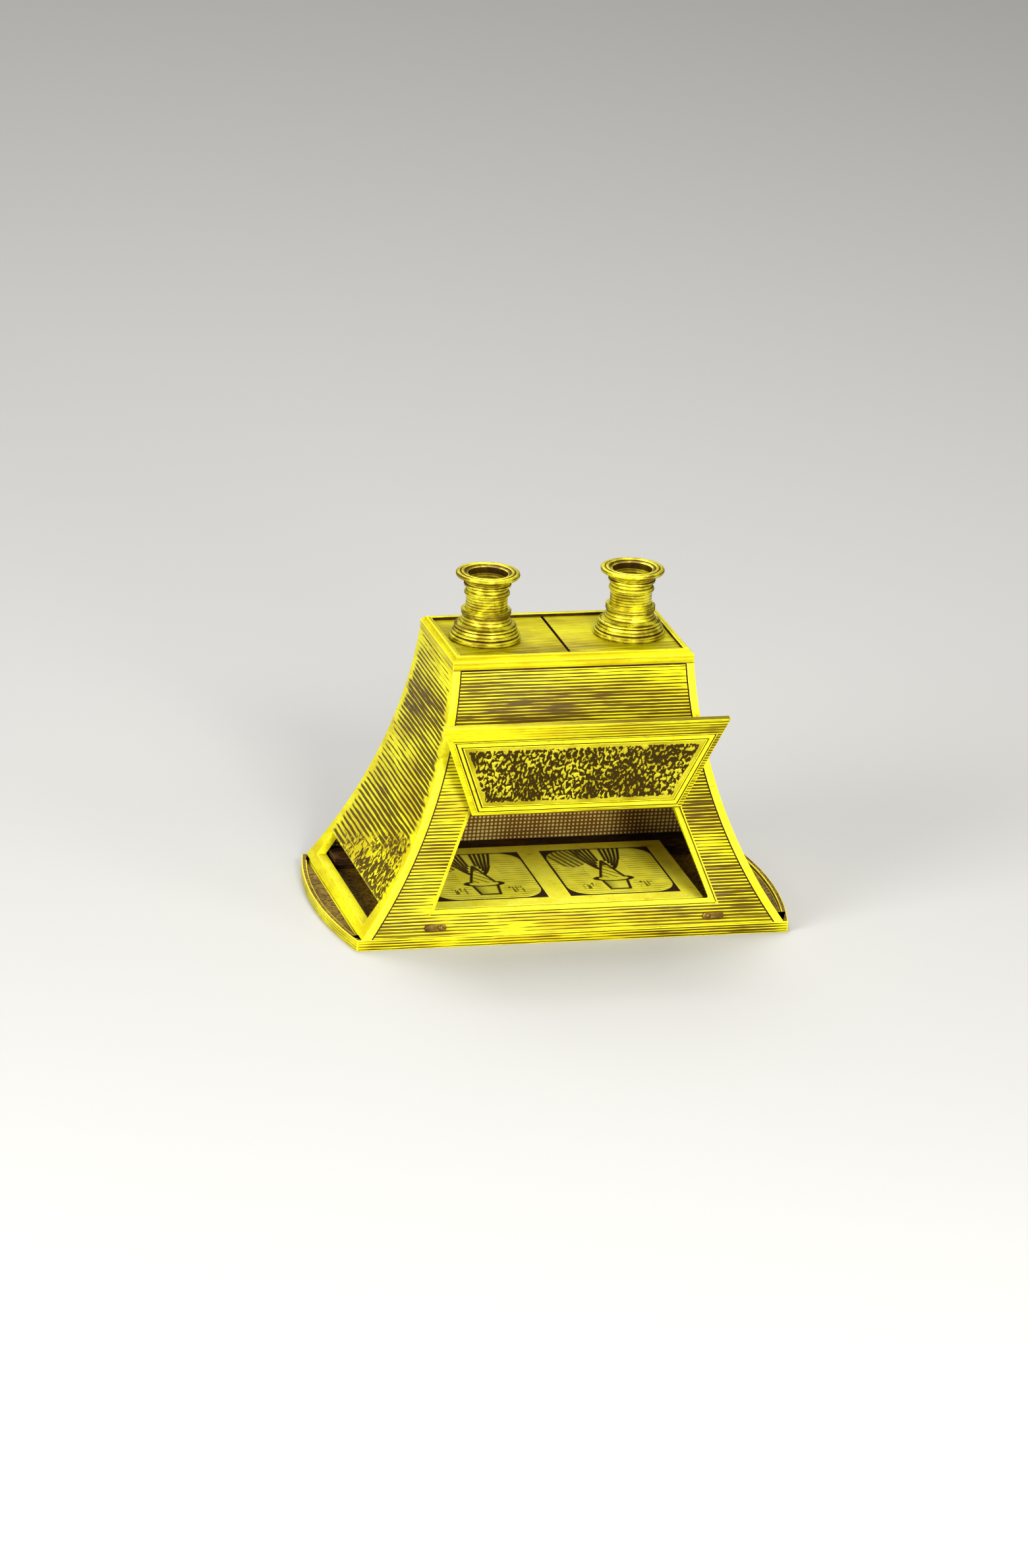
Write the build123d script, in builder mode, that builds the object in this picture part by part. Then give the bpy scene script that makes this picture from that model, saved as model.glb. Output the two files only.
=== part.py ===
from build123d import *
import os
from math import atan2, cos, degrees, radians, sin, sqrt, tan

# A lenticular stereoscope: a tapering wooden box that is looked down into through two
# draw-tube eyepieces, at a stereo card that slides in low down through slots in the sides.
# A reflector door in the sloping front lets light onto the card.
# Frame: X to the right, -Y towards the door side, +Z up, origin under the middle of the base.
# All sizes are in millimetres.

# Case
base_half_width = 97.0        # centre to the straight part of the base board's ends
base_half_depth = 54.0
base_thickness = 5.0
lip_bulge = 7.0               # how far each bowed end stands out past base_half_width
lip_rim = 2.3                 # raised rim around each lip's hollow
lip_hollow_depth = 1.8
side_foot_half_width = 95.0   # outer faces of the bent sides where they meet the base
top_half_depth = 30.0
wall_top = 118.0              # height of the walls' top edges, which carry the rails
side_hollow = 8.5             # how far the bent sides curve in from a straight line
front_thickness = 5.0
back_thickness = 4.5
side_thickness = 3.5
lining_thickness = 0.4

# Ground glass under the card
window_half_width = 62.0
window_half_depth = 34.0
glass_rebate = 3.0            # how far the glass runs past the window on every side
glass_thickness = 1.8
glass_clearance = 0.2
bead_width = 2.8
bead_thickness = 1.2
bead_recess = 0.3             # beads sit this far above the base's underside

# Card and the way in for it
slot_half_length = 44.0
slot_low = 8.5
slot_high = 18.5
runner_top = 10.2
runner_inner = 33.0           # runners start this far from the middle, and end at the wall
runner_end_gap = 0.2
card_half_length = 63.0
card_half_width = 36.0
card_thickness = 1.0
card_float = 0.2
print_width = 48.0
print_height = 54.0
print_thickness = 0.15
print_corner = 10.0
print_spacing = 60.0
septum_thickness = 2.0
septum_low = 62.0
septum_gap = 0.5              # gap between the septum and the rails' underside

# Opening in the front wall, measured up the slope from the base board
opening_low = 9.5
opening_high = 54.8
opening_low_half_width = 64.6
opening_high_half_width = 47.0
rebate_width = 2.0
rebate_clearance = 0.2        # room behind the closed door

# Door, measured from the hinge axis
door_open_lean = 12.5         # how far the open door leans out from upright
door_thickness = 3.0
door_gap = 0.4
hinge_rise = 0.8              # hinge axis stands this far out from the front's face
hinge_edge_gap = 0.3          # from the axis to the wood on either side of it
hinge_half_spacing = 27.0
hinge_length = 15.0
knuckle_radius = 1.3
knuckle_relief = 0.3
knuckle_gap = 0.2
pin_radius = 0.6
pin_clearance = 0.05
leaf_thickness = 0.5
leaf_depth = 2.6              # how far a leaf runs in from the wood's outer face
screw_head_radius = 0.9
screw_shank_radius = 0.45
screw_length = 4.0
screw_inset = 1.4             # screws sit this far in from the wood's outer face
screw_half_spacing = 4.5
screw_clearance = 0.03
bead_side_margin = 2.4        # wood showing outside the bead frame on the slanted edges
bead_hinge_margin = 1.6
bead_free_margin = 6.5
frame_bead_width = 3.4
frame_bead_height = 1.5
frame_bead_chamfer = 0.6
reflector_thickness = 0.8
knob_radius = 2.4
knob_height = 4.6
knob_neck_radius = 1.0
knob_foot_radius = 1.9
knob_edge_distance = 6.0
knob_spigot = 2.0

# Turn-buttons that hold the door shut
button_half_spacing = 60.0
button_below_opening = 5.3
button_overlap = 1.6          # how far a raised button reaches over the closed door
button_tail = 2.4
button_half_width = 1.5
button_thickness = 0.9
button_lift = 0.2
button_screw_radius = 0.7
button_head_radius = 1.3
button_head_height = 0.7
button_screw_length = 4.0

# Rails around the top and the two lens boards that slide in them
rail_width = 6.0
rail_height = 6.0
rail_wall = 1.7               # outer wall left beside the groove
rail_lip = 4.0                # width of the lip over the groove
rail_chamfer = 2.2
ledge_height = 1.2
board_thickness = 3.0
board_clearance = 0.15
board_cover = 0.6             # how far a board reaches under the side rail's lip
board_joint = 0.8             # open joint between the two boards
board_end_gap = 0.2
foot_rail_gap = 0.25          # left between a foot and the side rail's lip when slid right out

# Eyepieces, heights measured from the lens boards' top
eye_spacing = 65.0
tube_radius = 9.1
tube_wall = 1.0
tube_clearance = 0.05
foot_flange = 6.6             # walls of the foot are measured out from its bore
foot_rim_height = 2.6
foot_rim_round = 0.8
foot_height = 13.9
bell_low_wall = 5.55
bell_ring_height = 6.2
bell_ring_wall = 4.45
bell_ring_step = 0.5
bell_hollow = 0.6             # how far the bell's upper part curves in from a straight cone
neck_wall = 1.15
neck_height = 11.7
collar_wall = 1.6
collar_low = 12.3
spigot_wall = 1.8
spigot_length = 5.2
nut_width = 2.2
nut_thickness = 1.7
tube_low = -8.0
tube_high = 27.0
ring_low = 20.0
ring_high = 22.4
ring_stand = 0.9              # how far the raised ring stands out from the tube
tube_travel_up = 5.0
eye_rim_low = 24.4
eye_rim_collar_wall = 1.2
eye_rim_collar_height = 1.2
eye_rim_neck_wall = 0.7
eye_rim_flare = 4.9           # how far the rim spreads beyond the tube
eye_rim_under = 28.9
eye_rim_high = 30.7
eye_rim_round = 0.7
eye_hole_inset = 0.5          # the eye hole is this much smaller in radius than the tube
eye_funnel_width = 2.0
eye_funnel_depth = 0.9
lens_play = 0.1
lens_edge = 1.6
lens_dome = 0.8
lens_low = -3.2
lens_ring_width = 1.0
lens_ring_height = 1.3
lens_ring_clearance = 0.02
guide_radius = 0.5
guide_head_radius = 0.9
guide_head_height = 0.5
groove_width = 1.5
groove_depth = 0.5
groove_end_gap = 0.2
guide_tip_gap = 0.2

# Worked out from the sizes above
bore_radius = tube_radius + tube_clearance
foot_radius = bore_radius + foot_flange
board_travel = rail_lip - rail_wall - board_cover - board_end_gap
top_half_width = eye_spacing / 2 + foot_radius + board_travel + foot_rail_gap + rail_lip
through = 2 * base_half_width
lean = degrees(atan2(base_half_depth - top_half_depth, wall_top - base_thickness))
rise = cos(radians(lean))
run = sin(radians(lean))
case_height = wall_top + rail_height
front_face = Plane(
    origin=(0, -base_half_depth, base_thickness), x_dir=(1, 0, 0), z_dir=(0, -rise, run)
)
hinge_height = opening_high - hinge_edge_gap
hinge_y = -base_half_depth + hinge_height * run - hinge_rise * rise
hinge_z = base_thickness + hinge_height * rise + hinge_rise * run
door_plane = Plane(
    origin=(0, hinge_y, hinge_z),
    x_dir=(1, 0, 0),
    z_dir=(0, -cos(radians(door_open_lean)), -sin(radians(door_open_lean))),
)
door_length = hinge_height - opening_low - door_gap
flank_slope = (opening_low_half_width - opening_high_half_width) / (opening_high - opening_low)
flank_stretch = sqrt(1 + flank_slope**2)
board_low = wall_top + ledge_height + board_clearance
board_top = board_low + board_thickness
board_edge = top_half_width - rail_lip + board_cover
tube_travel_down = ring_low - foot_height - board_end_gap
rebate_depth = door_thickness + rebate_clearance
button_reach = button_below_opening + door_gap + button_overlap
bell_low_radius = bore_radius + bell_low_wall
bell_ring_radius = bore_radius + bell_ring_wall
neck_radius = bore_radius + neck_wall
collar_radius = bore_radius + collar_wall
spigot_radius = bore_radius + spigot_wall
nut_radius = spigot_radius + nut_width
ring_radius = tube_radius + ring_stand
eye_rim_collar = tube_radius + eye_rim_collar_wall
eye_rim_neck = tube_radius + eye_rim_neck_wall
eye_rim_radius = tube_radius + eye_rim_flare
eye_hole_radius = tube_radius - eye_hole_inset
eye_funnel_radius = eye_hole_radius + eye_funnel_width
lens_radius = tube_radius - tube_wall - lens_play
lens_ring_radius = lens_radius - lens_ring_width
guide_height = (collar_low + foot_height) / 2
sides = {"left": -1, "right": 1}

# The bent sides follow a circle whose centre lies outside the box
chord_x = side_foot_half_width - top_half_width
chord_z = wall_top - base_thickness
chord = sqrt(chord_x**2 + chord_z**2)
bend_radius = (chord**2 / 4 + side_hollow**2) / (2 * side_hollow)
bend_reach = bend_radius - side_hollow
bend_x = (side_foot_half_width + top_half_width) / 2 + bend_reach * chord_z / chord
bend_z = (wall_top + base_thickness) / 2 + bend_reach * chord_x / chord


def side_x(height, inset):
    """Half width of the case at a height, to a surface this far inside the bent side's face."""
    return bend_x - sqrt((bend_radius + inset) ** 2 - (height - bend_z) ** 2)


def wall_y(height, inset):
    """Half depth of the case at a height, to a plane this far inside a leaning wall's face."""
    return base_half_depth - (height - base_thickness) * tan(radians(lean)) - inset / rise


def side_arc(side, inset, low, high):
    """An arc up a bent side, drawn in the upright XZ plane."""
    return ThreePointArc(*[(side * side_x(z, inset), z) for z in (low, (low + high) / 2, high)])


def across_section(inset, low, high):
    """The case's section between its bent sides."""
    with BuildSketch(Plane.XZ) as outline:
        with BuildLine():
            left = side_arc(-1, inset, low, high)
            right = side_arc(1, inset, low, high)
            Line(left @ 0, right @ 0)
            Line(left @ 1, right @ 1)
        make_face()
    return outline.sketch


def side_section(side, outer, inner, low, high):
    """The section of a bent sheet between two depths inside the case's side."""
    with BuildSketch(Plane.XZ) as outline:
        with BuildLine():
            outside = side_arc(side, outer, low, high)
            inside = side_arc(side, inner, low, high)
            Line(outside @ 0, inside @ 0)
            Line(outside @ 1, inside @ 1)
        make_face()
    return outline.sketch


def profile_section(front_inset, back_inset, low, high):
    """The case's section from front to back, inset from its leaning faces."""
    with BuildSketch(Plane.YZ) as outline:
        with BuildLine():
            Polyline(
                (-wall_y(low, front_inset), low),
                (wall_y(low, back_inset), low),
                (wall_y(high, back_inset), high),
                (-wall_y(high, front_inset), high),
                close=True,
            )
        make_face()
    return outline.sketch


def wall_section(facing, outer, inner, low, high):
    """The section of a leaning wall: facing is -1 for the front and 1 for the back."""
    with BuildSketch(Plane.YZ) as outline:
        with BuildLine():
            Polyline(
                (facing * wall_y(low, outer), low),
                (facing * wall_y(low, inner), low),
                (facing * wall_y(high, inner), high),
                (facing * wall_y(high, outer), high),
                close=True,
            )
        make_face()
    return outline.sketch


def rectangle(plane, low_corner, high_corner):
    """A rectangle between two corners, in a plane's own coordinates."""
    with BuildSketch(plane) as outline:
        with Locations(((low_corner[0] + high_corner[0]) / 2, (low_corner[1] + high_corner[1]) / 2)):
            Rectangle(high_corner[0] - low_corner[0], high_corner[1] - low_corner[1])
    return outline.sketch


def circles(plane, points, radius):
    """Equal circles at points in a plane's own coordinates."""
    with BuildSketch(plane) as outline:
        with Locations(*points):
            Circle(radius)
    return outline.sketch


def flank(height, inset):
    """Half width of the opening at a height up the slope, inset square to its slanted edge."""
    return opening_low_half_width - (height - opening_low) * flank_slope - inset * flank_stretch


def opening_corners(low, high, inset):
    """Corners of a trapezoid that follows the opening's slanted edges, on the front's face."""
    return [
        (-flank(low, inset), low),
        (flank(low, inset), low),
        (flank(high, inset), high),
        (-flank(high, inset), high),
    ]


def door_corners(near, far, inset):
    """Corners of the same trapezoid in the door's plane, by distance from the hinge axis."""
    low = hinge_height - far
    high = hinge_height - near
    return [
        (-flank(high, inset), near),
        (flank(high, inset), near),
        (flank(low, inset), far),
        (-flank(low, inset), far),
    ]


def polygon(plane, points):
    """A straight-sided face in a plane's own coordinates."""
    with BuildSketch(plane) as outline:
        with BuildLine():
            Polyline(*points, close=True)
        make_face()
    return outline.sketch


def frame_corners(half_width, half_depth):
    """Corners of a rectangle about the middle, from the front left anticlockwise."""
    return [
        (-half_width, -half_depth),
        (half_width, -half_depth),
        (half_width, half_depth),
        (-half_width, half_depth),
    ]


def mitred_strip(outer, inner, index):
    """One side of a mitred frame, between its outer and its inner corners."""
    following = (index + 1) % 4
    return [outer[index], outer[following], inner[following], inner[index]]


os.makedirs("parts", exist_ok=True)


# Base board: one flat board whose bowed ends carry a shallow thumb hollow outside each slot.
bow_radius = (base_half_depth**2 + lip_bulge**2) / (2 * lip_bulge)
bow_centre = base_half_width + lip_bulge - bow_radius
hollow_radius = bow_radius - lip_rim
hollow_half = sqrt(hollow_radius**2 - (side_foot_half_width - bow_centre) ** 2)
window_corner = (window_half_width, window_half_depth)
rebate_corner = (window_half_width + glass_rebate, window_half_depth + glass_rebate)
rebate_top = bead_recess + bead_thickness + glass_thickness

with BuildPart() as base_board:
    with BuildSketch():
        with BuildLine():
            for side in sides.values():
                ThreePointArc(
                    (side * base_half_width, -base_half_depth),
                    (side * (base_half_width + lip_bulge), 0),
                    (side * base_half_width, base_half_depth),
                )
            Line((-base_half_width, -base_half_depth), (base_half_width, -base_half_depth))
            Line((-base_half_width, base_half_depth), (base_half_width, base_half_depth))
        make_face()
    extrude(amount=base_thickness)
    for side in sides.values():
        with BuildSketch(Plane.XY.offset(base_thickness)):
            with BuildLine():
                ThreePointArc(
                    (side * side_foot_half_width, -hollow_half),
                    (side * (bow_centre + hollow_radius), 0),
                    (side * side_foot_half_width, hollow_half),
                )
                Line(
                    (side * side_foot_half_width, -hollow_half),
                    (side * side_foot_half_width, hollow_half),
                )
            make_face()
    extrude(amount=-lip_hollow_depth, mode=Mode.SUBTRACT)
    extrude(
        rectangle(Plane.XY, (-window_corner[0], -window_corner[1]), window_corner),
        amount=base_thickness, mode=Mode.SUBTRACT,
    )
    extrude(
        rectangle(Plane.XY, (-rebate_corner[0], -rebate_corner[1]), rebate_corner),
        amount=rebate_top, mode=Mode.SUBTRACT,
    )
base_board.part.label = "base_board"
export_step(base_board.part, "parts/base_board.step")


# Ground glass: lies in the base board's rebate from below, so light can come up through a card.
glass_corner = (rebate_corner[0] - glass_clearance, rebate_corner[1] - glass_clearance)
glass_plane = Plane.XY.offset(bead_recess + bead_thickness)

with BuildPart() as ground_glass:
    extrude(
        rectangle(glass_plane, (-glass_corner[0], -glass_corner[1]), glass_corner),
        amount=glass_thickness,
    )
ground_glass.part.label = "ground_glass"
export_step(ground_glass.part, "parts/ground_glass.step")


# Glazing beads: four mitred strips that hold the glass up against the base board.
outer_bead = frame_corners(rebate_corner[0], rebate_corner[1])
inner_bead = frame_corners(rebate_corner[0] - bead_width, rebate_corner[1] - bead_width)
for index, where in enumerate(("front", "right", "back", "left")):
    with BuildPart() as glass_bead:
        extrude(
            polygon(
                Plane.XY.offset(bead_recess),
                mitred_strip(outer_bead, inner_bead, index),
            ),
            amount=bead_thickness,
        )
    glass_bead.part.label = f"glass_bead_{where}"
    export_step(glass_bead.part, f"parts/glass_bead_{where}.step")


# Side panels: thin boards bent to a hollow curve, whose edges cover the front and back walls.
# Each has a slot low down for the card.
for name, side in sides.items():
    with BuildPart() as side_panel:
        extrude(
            side_section(side, 0, side_thickness, base_thickness, wall_top),
            amount=base_half_depth, both=True,
        )
        extrude(
            profile_section(0, 0, base_thickness, wall_top),
            amount=through, both=True, mode=Mode.INTERSECT,
        )
        extrude(
            rectangle(Plane.YZ, (-slot_half_length, slot_low), (slot_half_length, slot_high)),
            amount=side * through, mode=Mode.SUBTRACT,
        )
    side_panel.part.label = f"{name}_side_panel"
    export_step(side_panel.part, f"parts/{name}_side_panel.step")


# Front panel: leans back between the sides, with a rebated opening for the door and places
# cut for the hinges and the screws.
case_leaf_plane = Plane(
    origin=front_face.from_local_coords((0, opening_high, 0)),
    x_dir=(1, 0, 0),
    z_dir=front_face.y_dir,
)
door_leaf_plane = Plane(
    origin=door_plane.from_local_coords((0, hinge_edge_gap, hinge_rise)),
    x_dir=(1, 0, 0),
    z_dir=door_plane.y_dir,
)
hinge_middles = [side * hinge_half_spacing for side in sides.values()]
screw_places = [middle + side * screw_half_spacing for middle in hinge_middles for side in sides.values()]
button_height = opening_low - button_below_opening
button_places = [(side * button_half_spacing, button_height) for side in sides.values()]
hinge_axis_plane = Plane(origin=(0, hinge_y, hinge_z), x_dir=(0, 1, 0), z_dir=(1, 0, 0))


def cut_hinge_relief():
    """Room for the hinge knuckles, round the hinge axis."""
    for middle in hinge_middles:
        start = middle - hinge_length / 2 - knuckle_relief
        extrude(
            circles(hinge_axis_plane.offset(start), [(0, 0)], knuckle_radius + knuckle_relief),
            amount=hinge_length + 2 * knuckle_relief,
            mode=Mode.SUBTRACT,
        )


def leaf_outlines(plane, inner_side):
    """The outlines of both hinges' leaves on the edge that they lie on."""
    with BuildSketch(plane) as outline:
        for middle in hinge_middles:
            with Locations((middle, inner_side * leaf_depth / 2)):
                Rectangle(hinge_length, leaf_depth)
    return outline.sketch


def leaf_screws(plane, inner_side, extra):
    """Four wood screws through a pair of leaves, each grown by a clearance when cutting holes."""
    points = [(place, inner_side * screw_inset) for place in screw_places]
    extrude(circles(plane, points, screw_head_radius + extra), amount=leaf_thickness)
    extrude(circles(plane, points, screw_shank_radius + extra), amount=screw_length)


# The outer face lies at +Y in the case leaf's plane and at -Y in the door leaf's plane
case_leaf_in = -1 if case_leaf_plane.to_local_coords(front_face.origin + front_face.z_dir).Y > 0 else 1
door_leaf_in = 1 if door_leaf_plane.to_local_coords(
    door_leaf_plane.origin + door_plane.z_dir
).Y > 0 else -1

with BuildPart() as case_screw_room:
    leaf_screws(case_leaf_plane, case_leaf_in, screw_clearance)
with BuildPart() as door_screw_room:
    leaf_screws(door_leaf_plane, door_leaf_in, screw_clearance)

with BuildPart() as front_panel:
    extrude(across_section(side_thickness, base_thickness, wall_top), amount=base_half_depth, both=True)
    extrude(
        wall_section(-1, 0, front_thickness, base_thickness, wall_top),
        amount=through, both=True, mode=Mode.INTERSECT,
    )
    extrude(
        polygon(front_face, opening_corners(opening_low, opening_high, 0)),
        amount=-rebate_depth, mode=Mode.SUBTRACT,
    )
    extrude(
        polygon(front_face, opening_corners(opening_low + rebate_width, opening_high, rebate_width)),
        amount=-2 * front_thickness, mode=Mode.SUBTRACT,
    )
    extrude(leaf_outlines(case_leaf_plane, case_leaf_in), amount=leaf_thickness, mode=Mode.SUBTRACT)
    cut_hinge_relief()
    add(case_screw_room.part, mode=Mode.SUBTRACT)
    extrude(
        circles(front_face, button_places, button_screw_radius + screw_clearance),
        amount=-button_screw_length, mode=Mode.SUBTRACT,
    )
front_panel.part.label = "front_panel"
export_step(front_panel.part, "parts/front_panel.step")


# Back panel: a plain leaning board between the sides.
with BuildPart() as back_panel:
    extrude(across_section(side_thickness, base_thickness, wall_top), amount=base_half_depth, both=True)
    extrude(
        wall_section(1, 0, back_thickness, base_thickness, wall_top),
        amount=through, both=True, mode=Mode.INTERSECT,
    )
back_panel.part.label = "back_panel"
export_step(back_panel.part, "parts/back_panel.step")


# Linings: thin dark sheets on the inside of the back and the sides, which stop stray light.
lining_inset = side_thickness + lining_thickness
back_inset = back_thickness + lining_thickness
lining_top = wall_top - septum_gap

with BuildPart() as back_lining:
    extrude(across_section(lining_inset, runner_top, lining_top), amount=base_half_depth, both=True)
    extrude(
        wall_section(1, back_thickness, back_inset, runner_top, lining_top),
        amount=through, both=True, mode=Mode.INTERSECT,
    )
back_lining.part.label = "back_lining"
export_step(back_lining.part, "parts/back_lining.step")

for name, side in sides.items():
    with BuildPart() as side_lining:
        extrude(
            side_section(side, side_thickness, lining_inset, slot_high, lining_top),
            amount=base_half_depth, both=True,
        )
        extrude(
            profile_section(front_thickness, back_thickness, slot_high, lining_top),
            amount=through, both=True, mode=Mode.INTERSECT,
        )
    side_lining.part.label = f"{name}_lining"
    export_step(side_lining.part, f"parts/{name}_lining.step")


# Card runners: two ledges on the base board that the card slides along.
runner_half_length = side_x(runner_top, side_thickness) - runner_end_gap
runner_outer = {
    "front": wall_y(runner_top, front_thickness),
    "back": wall_y(runner_top, back_inset),
}
for (name, outer), facing in zip(runner_outer.items(), (-1, 1)):
    near = min(facing * runner_inner, facing * outer)
    far = max(facing * runner_inner, facing * outer)
    with BuildPart() as card_runner:
        extrude(
            rectangle(
                Plane.XY.offset(base_thickness), (-runner_half_length, near), (runner_half_length, far)
            ),
            amount=runner_top - base_thickness,
        )
    card_runner.part.label = f"card_runner_{name}"
    export_step(card_runner.part, f"parts/card_runner_{name}.step")


# Septum: the partition between the two views, from just under the lens boards down.
septum_high = wall_top - septum_gap
with BuildPart() as septum:
    extrude(
        profile_section(front_thickness, back_inset, septum_low, septum_high),
        amount=septum_thickness / 2, both=True,
    )
septum.part.label = "septum"
export_step(septum.part, "parts/septum.step")


# Top rails: a mitred frame with a chamfered edge, grooved inside for the lens boards.
ledge_top = wall_top + ledge_height
lip_under = board_top + board_clearance
rail_section = [
    (0, wall_top),
    (rail_width, wall_top),
    (rail_width, ledge_top),
    (rail_wall, ledge_top),
    (rail_wall, lip_under),
    (rail_lip, lip_under),
    (rail_lip, case_height),
    (rail_chamfer, case_height),
    (0, case_height - rail_chamfer),
]
rails = {
    "front": (Plane.YZ, -1, top_half_depth),
    "right": (Plane.XZ, 1, top_half_width),
    "back": (Plane.YZ, 1, top_half_depth),
    "left": (Plane.XZ, -1, top_half_width),
}
outer_rail = frame_corners(top_half_width, top_half_depth)
inner_rail = frame_corners(top_half_width - rail_width, top_half_depth - rail_width)
for index, (name, (plane, side, reach)) in enumerate(rails.items()):
    with BuildPart() as top_rail:
        extrude(
            polygon(plane, [(side * (reach - inward), height) for inward, height in rail_section]),
            amount=top_half_width, both=True,
        )
        extrude(
            polygon(Plane.XY.offset(wall_top), mitred_strip(outer_rail, inner_rail, index)),
            amount=rail_height, mode=Mode.INTERSECT,
        )
    top_rail.part.label = f"top_rail_{name}"
    export_step(top_rail.part, f"parts/top_rail_{name}.step")


# Card: a stiff mount with two pasted prints, lying on the runners.
card_low = runner_top + card_float
with BuildPart() as card_mount:
    extrude(
        rectangle(
            Plane.XY.offset(card_low),
            (-card_half_length, -card_half_width),
            (card_half_length, card_half_width),
        ),
        amount=card_thickness,
    )
card_mount.part.label = "card_mount"
export_step(card_mount.part, "parts/card_mount.step")

for name, side in sides.items():
    with BuildPart() as picture:
        with BuildSketch(Plane.XY.offset(card_low + card_thickness)):
            with Locations((side * print_spacing / 2, 0)):
                RectangleRounded(print_width, print_height, print_corner)
        extrude(amount=print_thickness)
    picture.part.label = f"{name}_print"
    export_step(picture.part, f"parts/{name}_print.step")


# Door board: a thin trapezoid hinged on its shorter edge, standing open.
with BuildPart() as door_board:
    extrude(
        polygon(door_plane.offset(hinge_rise), door_corners(hinge_edge_gap, door_length, door_gap)),
        amount=door_thickness,
    )
    extrude(leaf_outlines(door_leaf_plane, door_leaf_in), amount=leaf_thickness, mode=Mode.SUBTRACT)
    cut_hinge_relief()
    add(door_screw_room.part, mode=Mode.SUBTRACT)
    extrude(
        circles(
            door_plane.offset(hinge_rise),
            [(0, door_length - knob_edge_distance)],
            knob_neck_radius + screw_clearance,
        ),
        amount=knob_spigot, mode=Mode.SUBTRACT,
    )
door_board.part.label = "door_board"
export_step(door_board.part, "parts/door_board.step")


# Reflector beads: a mitred frame on the door's inner face, round the reflector.
door_inner_face = door_plane.offset(hinge_rise + door_thickness)
bead_near = hinge_edge_gap + bead_hinge_margin
bead_far = door_length - bead_free_margin
bead_inset = door_gap + bead_side_margin
outer_frame = door_corners(bead_near, bead_far, bead_inset)
inner_frame = door_corners(
    bead_near + frame_bead_width, bead_far - frame_bead_width, bead_inset + frame_bead_width
)
for index, where in enumerate(("hinge", "right", "free", "left")):
    with BuildPart() as reflector_bead:
        extrude(
            polygon(door_inner_face, mitred_strip(outer_frame, inner_frame, index)),
            amount=frame_bead_height,
        )
    reflector_bead.part.label = f"reflector_bead_{where}"
    export_step(reflector_bead.part, f"parts/reflector_bead_{where}.step")


# Reflector: a stiff sheet faced with crinkled foil, inside the bead frame.
with BuildPart() as reflector:
    extrude(polygon(door_inner_face, inner_frame), amount=reflector_thickness)
reflector.part.label = "reflector"
export_step(reflector.part, "parts/reflector.step")


# Door hinges: two small butt hinges. The case's leaves carry the two outer knuckles of each
# hinge, the door's leaves the middle one, and a pin runs through all three.
knuckle_length = (hinge_length - 2 * knuckle_gap) / 3


def hinge_parts(plane, inner_side, starts, other_starts, screw_room):
    """A pair of leaves on an edge, notched for the other leaves' knuckles and with their own."""
    with BuildPart() as leaves:
        extrude(leaf_outlines(plane, inner_side), amount=leaf_thickness)
        with BuildSketch(plane):
            for middle in hinge_middles:
                for start in starts:
                    with Locations((middle + start + knuckle_length / 2, -inner_side * hinge_rise / 2)):
                        Rectangle(knuckle_length, hinge_rise)
        extrude(amount=leaf_thickness)
        for middle in hinge_middles:
            for start in other_starts:
                notch = hinge_axis_plane.offset(middle + start - knuckle_gap)
                extrude(
                    circles(notch, [(0, 0)], knuckle_radius + knuckle_relief),
                    amount=knuckle_length + 2 * knuckle_gap,
                    mode=Mode.SUBTRACT,
                )
        for middle in hinge_middles:
            for start in starts:
                knuckle = hinge_axis_plane.offset(middle + start)
                extrude(circles(knuckle, [(0, 0)], knuckle_radius), amount=knuckle_length)
        for middle in hinge_middles:
            bore_start = middle - hinge_length
            extrude(
                circles(hinge_axis_plane.offset(bore_start), [(0, 0)], pin_radius + pin_clearance),
                amount=2 * hinge_length,
                mode=Mode.SUBTRACT,
            )
        add(screw_room, mode=Mode.SUBTRACT)
    return leaves.part


outer_starts = (-hinge_length / 2, hinge_length / 2 - knuckle_length)
middle_starts = (-knuckle_length / 2,)
with BuildPart() as case_hinge_leaves:
    add(hinge_parts(case_leaf_plane, case_leaf_in, outer_starts, middle_starts, case_screw_room.part))
case_hinge_leaves.part.label = "case_hinge_leaves"
export_step(case_hinge_leaves.part, "parts/case_hinge_leaves.step")

with BuildPart() as door_hinge_leaves:
    add(hinge_parts(door_leaf_plane, door_leaf_in, middle_starts, outer_starts, door_screw_room.part))
door_hinge_leaves.part.label = "door_hinge_leaves"
export_step(door_hinge_leaves.part, "parts/door_hinge_leaves.step")

with BuildPart() as hinge_pins:
    for middle in hinge_middles:
        extrude(
            circles(hinge_axis_plane.offset(middle - hinge_length / 2), [(0, 0)], pin_radius),
            amount=hinge_length,
        )
hinge_pins.part.label = "hinge_pins"
export_step(hinge_pins.part, "parts/hinge_pins.step")

with BuildPart() as case_hinge_screws:
    leaf_screws(case_leaf_plane, case_leaf_in, 0)
case_hinge_screws.part.label = "case_hinge_screws"
export_step(case_hinge_screws.part, "parts/case_hinge_screws.step")

with BuildPart() as door_hinge_screws:
    leaf_screws(door_leaf_plane, door_leaf_in, 0)
door_hinge_screws.part.label = "door_hinge_screws"
export_step(door_hinge_screws.part, "parts/door_hinge_screws.step")


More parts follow.
